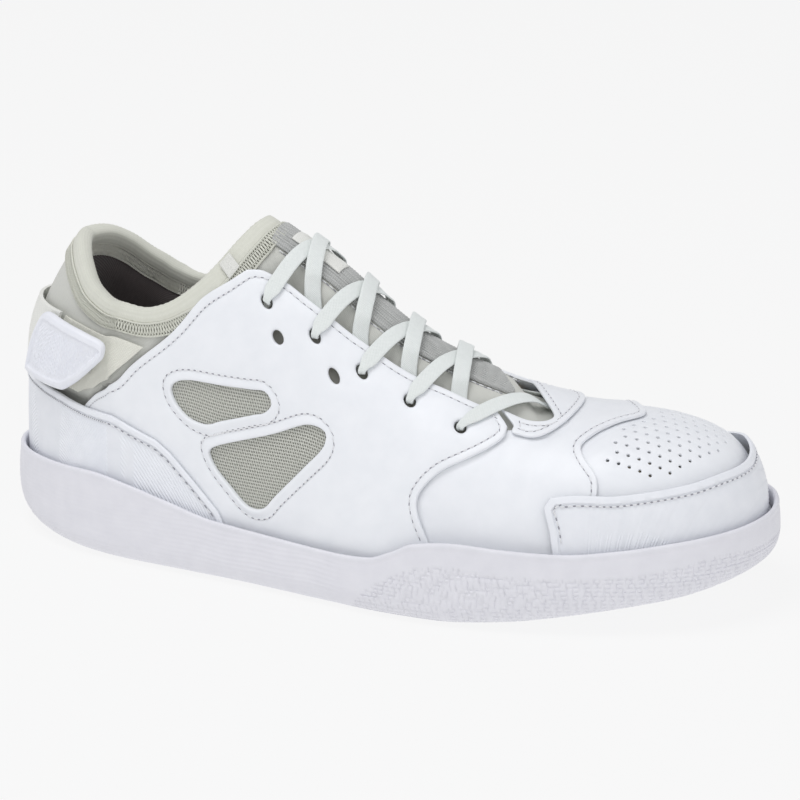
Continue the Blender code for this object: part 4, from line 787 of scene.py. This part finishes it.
toe_gap = [(227, -62), (232, -50), (232, -35), (225, -27), (222.4, -22), (225, -14), (230, -4.5)]
vamp_cut = np.vstack([hem(latx(176), latx(176) - 1), v_rear, spline([(197.5, -24.5), (203, -22.3), (209.5, -19.5), (212.4, -12.5), (207.8, -3.5), (202, 4.8), (197.5, 11.5), (194, 16.5)], 5, False), [(197, 22)],
  side(1, v_rear[::-1]), hem(medx(175), medx(226)), spline(np.vstack([side(1, toe_gap), [(236, 7)], toe_gap[::-1]]), 6, False), hem(latx(226), latx(176))[:-1]])
def walks(x, y):
    """flex creases across the ball of the foot and the stitched edge of the toe opening"""
    flex = .16 * np.sin((x - 200) * .55 + .5 * np.sin(y * .09)) * step(190, 203, x) * step(226, 214, x) * step(8, 26,
            fold(x, y))
    return crease(x, y) * .8 + flex + channel(near([vamp_cut], x, y), 2.4)
panel("leather_vamp", vamp_cut, vamp_top, 1.05, leather, grid=2.2, edge=1.6, soft=.5, rings=(.12, .3, .5, 1.6, 2.4, 3.2),
        relief=walks, stands_for=("vamp",))
toe_line = spline(np.vstack([side(1, toe_gap), [(236, 7)], toe_gap[::-1]]), 6, False)
stitch("vamp_toe_opening", [(toe_line + normals2d(toe_line, False) * o, False) for o in (2.4, -2.4)], lambda x, y: vamp_top(x, y) - .2,
       lambda x, y: inside(vamp_cut, x, y) & above_sole(x, y) & (near([vamp_cut], x, y) > 2.))

# %% Perforated toe panel
def mir(P): return [(x, 14 - y) if x > TX else (x, float(2 * SPY(x) - y)) for x, y in P]
toe_half = [(216, -20), (219, -34), (228, -44), (241, -44), (257, -35.5), (268, -25), (275, -14), (279.5, -2)]
toe_cut = spline(np.vstack([toe_half[:8], [(281, 7)], mir(toe_half)[::-1], [(228, 8)]]), 4)
pins = [(233 + 4.15 * c + (0 if r % 2 == 0 else 2.07), 7 + (r - 7) * 4.6 * (1 - .0 * c)) for r in range(15) for c in range(11)]
face = offset(spline([(231, -30), (240, -32), (250, -26.5), (259, -19), (265.5, -9), (268.5, 7), (265.5, 23), (259, 33),
        (250, 40.5), (240, 46), (231, 44), (227.5, 36), (234, 22), (237.5, 7), (232, -6), (226.5, -20)], 4), -.5)
pins = np.array(pins); pins = pins[inside(face, pins[:, 0], pins[:, 1])]
panel("perforated_toe_panel", toe_cut, lambda x, y: vamp_top(x, y) - 1.65, .95, leather, [ring(p, .62, 10) for p in pins], grid=2.2, edge=2., soft=.3, rings=[(.3,), (.16, .4)] + [(.16, .4)] * len(pins),
      relief=lambda x, y: -.12 * step(1.1, .2, near([ring(p, .62, 10) for p in pins], x, y)), stands_for=("toe_panel",))
print("perforations", len(pins))

# %% [markdown]
# ## Embossed overlays at toe and heel
# A tougher synthetic leather guards the toe and heel. A hot plate presses a small grid into it and leaves a smooth raised
# rim. The grid is a lattice of mesh points, every second one lifted, so each bump is a little pyramid.

# %% Toe overlay
toe_edge = [(218, -44.6), (225, -42), (240, -38), (254, -30), (263.5, -21.5), (269.5, -12.5), (274, -2)]
toe_guard = np.vstack([spline(np.vstack([toe_edge, [(275.4, 7)], mir(toe_edge)[::-1]]), 5, False),
        side(1, [(216, -48.5), (219, -56)]), hem(medx(222), latx(222)), [(219, -56), (216, -48.5)]])
def bumps(x, y, p, a, h):
    u, v = x * cos(a) + y * sin(a), -x * sin(a) + y * cos(a); return h * np.cos(pi * u / p) * np.cos(pi * v / p)
def guard_relief(p, a, h, cut, wide):
    def f(x, y):
        d = near([cut], x, y)
        return -.6 * step(wide, wide + .5, d) + bumps(x, y, p, a, h) * step(wide + .5, wide + 1., d)
    return f
panel("embossed_toe_overlay", toe_guard, 1.5, 1.05, embossed, grid=.9, lattice=(.9, pi / 4), edge=1.2, soft=.6, rings=(.12, .3, .6, 2.3, 2.8),
      relief=guard_relief(.9, pi / 4, .16, toe_guard, 2.3), stands_for=("toe_overlay",))
stitch("toe_overlay", [(offset(resample(toe_guard, .8), -3.4), True)], lambda x, y: np.full(len(x), 1.12), lambda x,
        y: above_sole(x, y) & (near([toe_guard], x, y) > 3.1))

# %% Heel overlay
heel_guard = np.vstack([both([(heel(-179.9), 59.5), (heel(-150), 59), (heel(-125), 57), (heel(-105), 54.5), (latx(52), 53),
        (latx(60), 50), (latx(70), 46.8), (latx(76), 43), (latx(86), 34), (latx(96), 24.5)]), hem(latx(100), -latx(100))])
panel("embossed_heel_overlay", heel_guard, 1.7, 1.05, embossed, grid=.95, lattice=(.95, 0.), edge=1.4, soft=.6, rings=(.12, .3, .6, 2.0, 2.5),
      relief=guard_relief(.95, 0., .13, heel_guard, 2.0), stands_for=("heel_overlay",))
stitch("heel_overlay", [(offset(resample(heel_guard, .8), -3.2), True)], lambda x, y: np.full(len(x), 1.32), lambda x,
        y: above_sole(x, y) & (near([heel_guard], x, y) > 2.9))

# %% [markdown]
# ## Heel strap
# A strap of diagonal-rib webbing runs round the heel and ends in a moulded tab that peels open on hook and loop tape.
# The ribs are swept into a fine mesh. The tab and all that is sewn to it ride on the moving body.

# %% Webbing as a fine ribbed mesh
def web(name, r0, r1, z0, z1, t0, t1, finish, rib=1.9, deep=.28, body="shoe", **more):
    nr, nz = int(abs(r1 - r0) * .95 / .42), int((z1 - z0) / .42)
    R_, Z_ = np.meshgrid(np.linspace(r0, r1, nr), np.linspace(0, 1, nz), indexing="ij")
    zz = (z0 + (z1 - z0) * Z_)
    XY = at_z(R_, zz)
    s = (R_ - r0) * .95
    v = (z1 - z0) * Z_
    e = np.minimum(Z_, 1 - Z_) * (z1 - z0)
    selvedge = step(2.2, 1.6, e)
    wave = .5 + .5 * np.cos(2 * pi * (s + v * .8) / rib)
    cross = .5 + .5 * np.cos(2 * pi * (s - v * 1.4) / .95)
    h = t1 - deep * (1 - wave) * (1 - selvedge) - .09 * cross - .12 * selvedge * (.5 + .5 * np.cos(2 * pi * s / 1.1)) - .35 * step(.5, 0, e)
    P = XY.reshape(-1, 2); V = np.vstack([wrap(P, h.ravel()), wrap(P, t0)]); N = nr * nz
    uv = np.stack([s.ravel(), v.ravel()], -1)
    return make(name, V, sheet_faces(nr, nz), finish, body=body, uv=np.vstack([uv, uv]), sharp=75, **more)
web("heel_strap_webbing", -(NF - 4), heel(-134), 62.5, 86, .9, 2.15, webbing, stands_for=("strap_band",))
web("medial_strap_patch", -(NF - 8), -(NF - 24), 65, 84, -.2, .5, webbing, deep=.15, stands_for=("strap_patch",))

# %% Base strap under the tab, and the hook and loop tapes
panel("cream_base_strap", np.vstack([sz([(heel(-132), 61.3), (heel(-112), 59.2)]), [(31, -94.8), (49, -92.4), (58, -82.6), (63, -76.5)], sz([(heel(-95), 81), (heel(-115), 83.5), (heel(-132), 85)])]), .5, .7, cream_web, grid=1.4, edge=1., soft=.25, rings=(.1, .25),
      relief=lambda x, y: .1 * np.cos((x + y) * 2 * pi / 1.5), stands_for=("strap_base",))
def tape_piece(name, cut, top, thick, finish, node, body, size, lift):
    ob = panel(name, cut, top, thick, finish, grid=1.2, edge=1., soft=.15, rings=(.15,), body=body, stands_for=(node,))
    c = resample(cut, .5)
    lo, hi = c.min(0), c.max(0)
    gx, gy = np.meshgrid(np.arange(lo[0], hi[0], size), np.arange(lo[1], hi[1], size))
    gx = gx + (np.arange(len(gy)) % 2)[:, None] * size / 2
    q = np.stack([gx.ravel(), gy.ravel()], -1)
    q = q[inside(c, q[:, 0], q[:, 1])]
    q = q[near([c], q[:, 0], q[:, 1]) > .6]
    capsules(name + "_pile", q, np.tile([cos(.7), sin(.7)], (len(q), 1)), np.full(len(q), lift[0]), finish, size * .6, .14,
            lift[1], body)
def strap_box(r0, r1, z0, z1): return np.vstack([sz([(r0, z0), (r1, z0)]), sz([(r1, z1), (r0, z1)])])
tape_piece("loop_tape", strap_box(heel(-130), heel(-102), 67, 77), 1.3, .4, loop_cloth, "loop_pad", "shoe", .8, (1.28, .12))
tape_piece("hook_tape", sz([(heel(-130), 66.5), (heel(-118), 66.5), (heel(-104), 76), (heel(-130), 77)]), 2.25, .4, hook_cloth,
        "hook_pad", "strap_tab", .9, (1.87, -.18))

# %% The moulded tab on its webbing
web_cut = sz([(heel(-150.8), 62.5), (heel(-140), 62), (heel(-120), 61.5), (heel(-109), 66), (heel(-94), 74), (heel(-94), 77.5),
        (heel(-125), 82), (heel(-139), 83), (heel(-142), 83.4)])
panel("tab_webbing", web_cut, 3.5, .9, webbing, grid=1.4, edge=1., soft=.3, rings=(.12, .3), relief=lambda x,
        y: .09 * np.cos((x + y) * 2 * pi / 1.5), body="strap_tab", stands_for=("tab_webbing",))
tab_cut = sz([(heel(-151.4), 61.3), (heel(-140), 60.3), (heel(-128), 59.8), (heel(-118), 59.8), (heel(-108), 64),
        (heel(-98), 69.5), (heel(-90), 74), (heel(-89.5), 78.5), (heel(-95), 80.3), (heel(-110), 82.5), (heel(-125), 84), (heel(-136), 85), (heel(-141.8), 84.7)])
tab_round = resample(tab_cut, .8)
for _ in range(14): tab_round = (np.roll(tab_round, 1, 0) + 2 * tab_round + np.roll(tab_round, -1, 0)) / 4
def tab_relief(x, y):
    d = near([tab_round], x, y); grid_ = bumps(x, y, 1.0, .42, .13)
    return .45 * step(.4, 1.2, d) * step(3.4, 2.7, d) - .25 * step(2.7, 3.4, d) + grid_ * step(3.6, 4.2, d) - .5 * step(.9, 0,
            d)
panel("moulded_strap_tab", tab_round, 5.6, 1.65, tab_plastic, grid=.95, lattice=(1.0, .42), edge=.9, soft=.7,
        rings=(.12, .35, .7, 1.2, 2.7, 3.4), relief=tab_relief, body="strap_tab", stands_for=("tab_shell",))

# %% Anchor loops over the binding
for tag, m in SIDES:
    k = int(np.argmin(np.hypot(*(TOPLINE - side(m, [(90, -30)])[0]).T))); c = TOPLINE[k]; n_ = offset(TOPLINE, 1)[k] - c
    loop_line = [c + n_ * q for q in (.9, 2.4, 4, 5.6)]
    P = spline(loop_line, 14, False)
    nl = normals2d(P, False)
    w = np.linspace(-1, 1, 19)
    XY = P[:, None] + nl[:, None] * (w * 3.5)[None, :, None]
    d = near([TOPLINE], XY[..., 0].ravel(), XY[..., 1].ravel()).reshape(XY.shape[:2]); s = np.arange(len(P))
    base = bootie_out(XY[..., 0], XY[..., 1]) + .9 + .55 * step(6.4, 4.6, d)
    hh = base + .55 + .08 * np.cos(s[:, None] * 1.9 + w[None] * 7) - .3 * step(.8, 1, abs(w))[None]
    N = XY.shape[0] * XY.shape[1]
    nz = len(w)
    V = np.vstack([wrap(XY.reshape(-1, 2), hh.ravel()), wrap(XY.reshape(-1, 2), base.ravel())])
    nr = len(P); uv = np.tile(np.stack([np.repeat(s, nz) * .3, np.tile(w * 3.5, nr)], -1), (2, 1))
    make("anchor_loop_webbing_" + tag, V, sheet_faces(nr, nz), webbing, uv=uv, sharp=75, stands_for=("anchor_loop_" + tag,))

# %% [markdown]
# ## The lace
# One flat woven lace crosses the tongue nine times. Its route is a list of pattern points with a height, a width and a
# thickness: it goes over the eyestay, down over the tongue, under the far eyestay and up through the next hole.
# A rounded flat section is swept along it, with a groove down the middle, as a tubular flat lace has.

# %% The lace's route
def eye(i, s): return np.array(side(s, [EYELETS[i]])[0])
def strand(a, b, hi):
    out = []; d = b - a; L = np.linalg.norm(d); u_ = d / L
    def P(s): return a + u_ * s
    def ys(s): return float(fold(*P(s)))
    out += [(a, .1, 2.7, 1.3), (P(1.8), 1.05, 3.4, 1.1), (P(5), 1.0, 5.6, .9)]
    for s in np.arange(9, L - 1, 3.0):
        y = ys(s); far_ = s > L / 2
        if not far_: t = 1.0 + (hi - 1.0) * step(20, 9, y)
        elif y < 13: t = max(float(bootie_out(*P(s))) + 2.7, hi - (hi - 1.5) * float(step(6, 13, y)))
        else: t = max(-3.75, float(bootie_out(*P(s))) + 1.75)
        if s < L - 5: out.append((P(s), float(t), 5.8, .85))
    return out + [(P(L - 4.5), -3.75, 5.2, .85), (P(L - 1.8), -3.7, 3.2, .9), (b, -2.3, 2.7, 1.3)]
def tail(s): return [(eye(0, s) + [-5, 8 * s], -3.75, 5.0, .85), (eye(0, s) + [-2.8, 4.5 * s], -3.75, 4.6, .85),
        (eye(0, s) + [-1.1, 1.8 * s], -3.7, 3.2, .9), (eye(0, s), -2.3, 2.7, 1.3)]
route, mate = tail(-1), tail(1)
for first, path in ((-1, route), (1, mate)):
    turns = [(k, first * (-1) ** k) for k in range(5)]
    for (i, s), (j, q) in zip(turns[:-1], turns[1:]): path += strand(eye(i, s), eye(j, q), 1.95 if s < 0 else 3.25)
a_, e1 = eye(4, -1), np.array([203., -.5])
route += [(a_, .1, 2.7, 1.3)] + [(a_ + (e1 - a_) * k, h, w, .85) for k, h, w in ((.06, 1.05, 3.4), (.18, 1.0, 5.4), (.36, 1.0,
        5.8), (.55, 1.1, 5.8), (.68, .9, 5.8), (.8, .1, 5.8), (.9, -1.6, 5.4))]
route += [(e1 + p, -3.9, 5.0, .85) for p in ((.3, .6), (2.2, 4), (2., 9), (-1.5, 15), (-7, 20.5), (-13, 24.5))]
route += mate[:-2][::-1]

# %% Sweep a flat woven section along it
def ribbon(name, nodes, finish, sub=5, sides=16, body="shoe", **more):
    A = np.array([[*n[0], n[1], n[2], n[3]] for n in nodes], float)
    C = wrap(A[:, :2], A[:, 2])
    Q = spline(np.c_[C, A[:, 2:]], sub, closed=False)
    C = Q[:, :3]
    for _ in range(2): C[1:-1] = (C[:-2] + 2 * C[1:-1] + C[2:]) / 4
    tan = np.gradient(C, axis=0)
    tan /= np.linalg.norm(tan, axis=1)[:, None]
    f2 = spline(A[:, :2], sub, closed=False)
    e = 1.5
    S0 = np.cross(surf(f2[:, 0] + e, f2[:, 1]) - surf(f2[:, 0] - e, f2[:, 1]), surf(f2[:, 0], f2[:, 1] + e) - surf(f2[:, 0],
            f2[:, 1] - e))
    S0 /= np.linalg.norm(S0, axis=1)[:, None]
    lay = spline(wrap(A[:, :2], 0.), sub, closed=False)
    lt = np.gradient(lay, axis=0)
    wd = np.cross(S0, lt)
    w2 = np.linalg.norm(wd, axis=1)
    for i in range(len(wd)):
        if w2[i] < 1e-3: wd[i] = wd[i - 1]
        if i and np.dot(wd[i], wd[i - 1]) < 0: wd[i] = -wd[i]
    for _ in range(12): wd[1:-1] = (wd[:-2] + 2 * wd[1:-1] + wd[2:]) / 4
    wd -= tan * (wd * tan).sum(1)[:, None]; wd /= np.linalg.norm(wd, axis=1)[:, None]; th = np.cross(tan, wd)
    ph = np.arange(sides) * 2 * pi / sides
    cx = np.sign(np.cos(ph)) * abs(np.cos(ph)) ** .55
    cy = np.sign(np.sin(ph)) * abs(np.sin(ph)) ** .7
    groove = 1 - .25 * np.exp(-(cx / .22) ** 2); W, Hh = Q[:, 4:5] / 2, Q[:, 5:6] / 2
    arc_ = np.concatenate([[0], np.cumsum(np.linalg.norm(np.diff(C, axis=0), axis=1))])
    V = C[:, None] + wd[:, None] * (W * cx)[..., None] + th[:, None] * (Hh * (cy * groove))[..., None]
    n = len(C)
    i = np.arange(n - 1)[:, None] * sides
    k = np.arange(sides)[None]
    F = np.stack([i + k, i + (k + 1) % sides, i + sides + (k + 1) % sides, i + sides + k], -1).reshape(-1, 4).tolist()
    F += [list(range(sides))[::-1], [(n - 1) * sides + q for q in range(sides)]]
    uv = np.stack([np.repeat(arc_, sides), (W * cx).ravel()], -1)
    make(name, V.reshape(-1, 3), F, finish, body=body, uv=uv, sharp=75, **more)
    return arc_[-1]
print("lace length", round(ribbon("flat_woven_lace", route, lace_weave, stands_for=("lace",))), "mm")
clear_film, t, out = new_material("clear_lace_tip_film")
scuff = add(t, "ShaderNodeTexNoise", {0: space(t, 3), "Detail": 3.})
finish_with(t, out, tint(t, scuff.outputs[0], "#E3E7EA", "#F3F6F8"), .22, scuff.outputs[0], .01, IOR=1.49)
for tag, s in SIDES:
    e0 = eye(0, s)
    ribbon("lace_tip_" + tag, [(e0 + np.array([-5.4, s * 8.6]) + np.array([-5, s * 8]) * k, -3.55, w, .8) for k,
            w in ((0, 4.4), (.5, 4.4), (1.1, 4.2), (1.4, 3.4))], clear_film, stands_for=("aglet_" + tag,))

# %% Hidden parts keep their CAD shape and get their own finish
for node, finish in (("midsole_insert", foam_stuff), ("lasting_board", board), ("heel_counter", board), ("toe_puff", board)):
    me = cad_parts[node].data; me.materials.clear(); me.materials.append(finish)
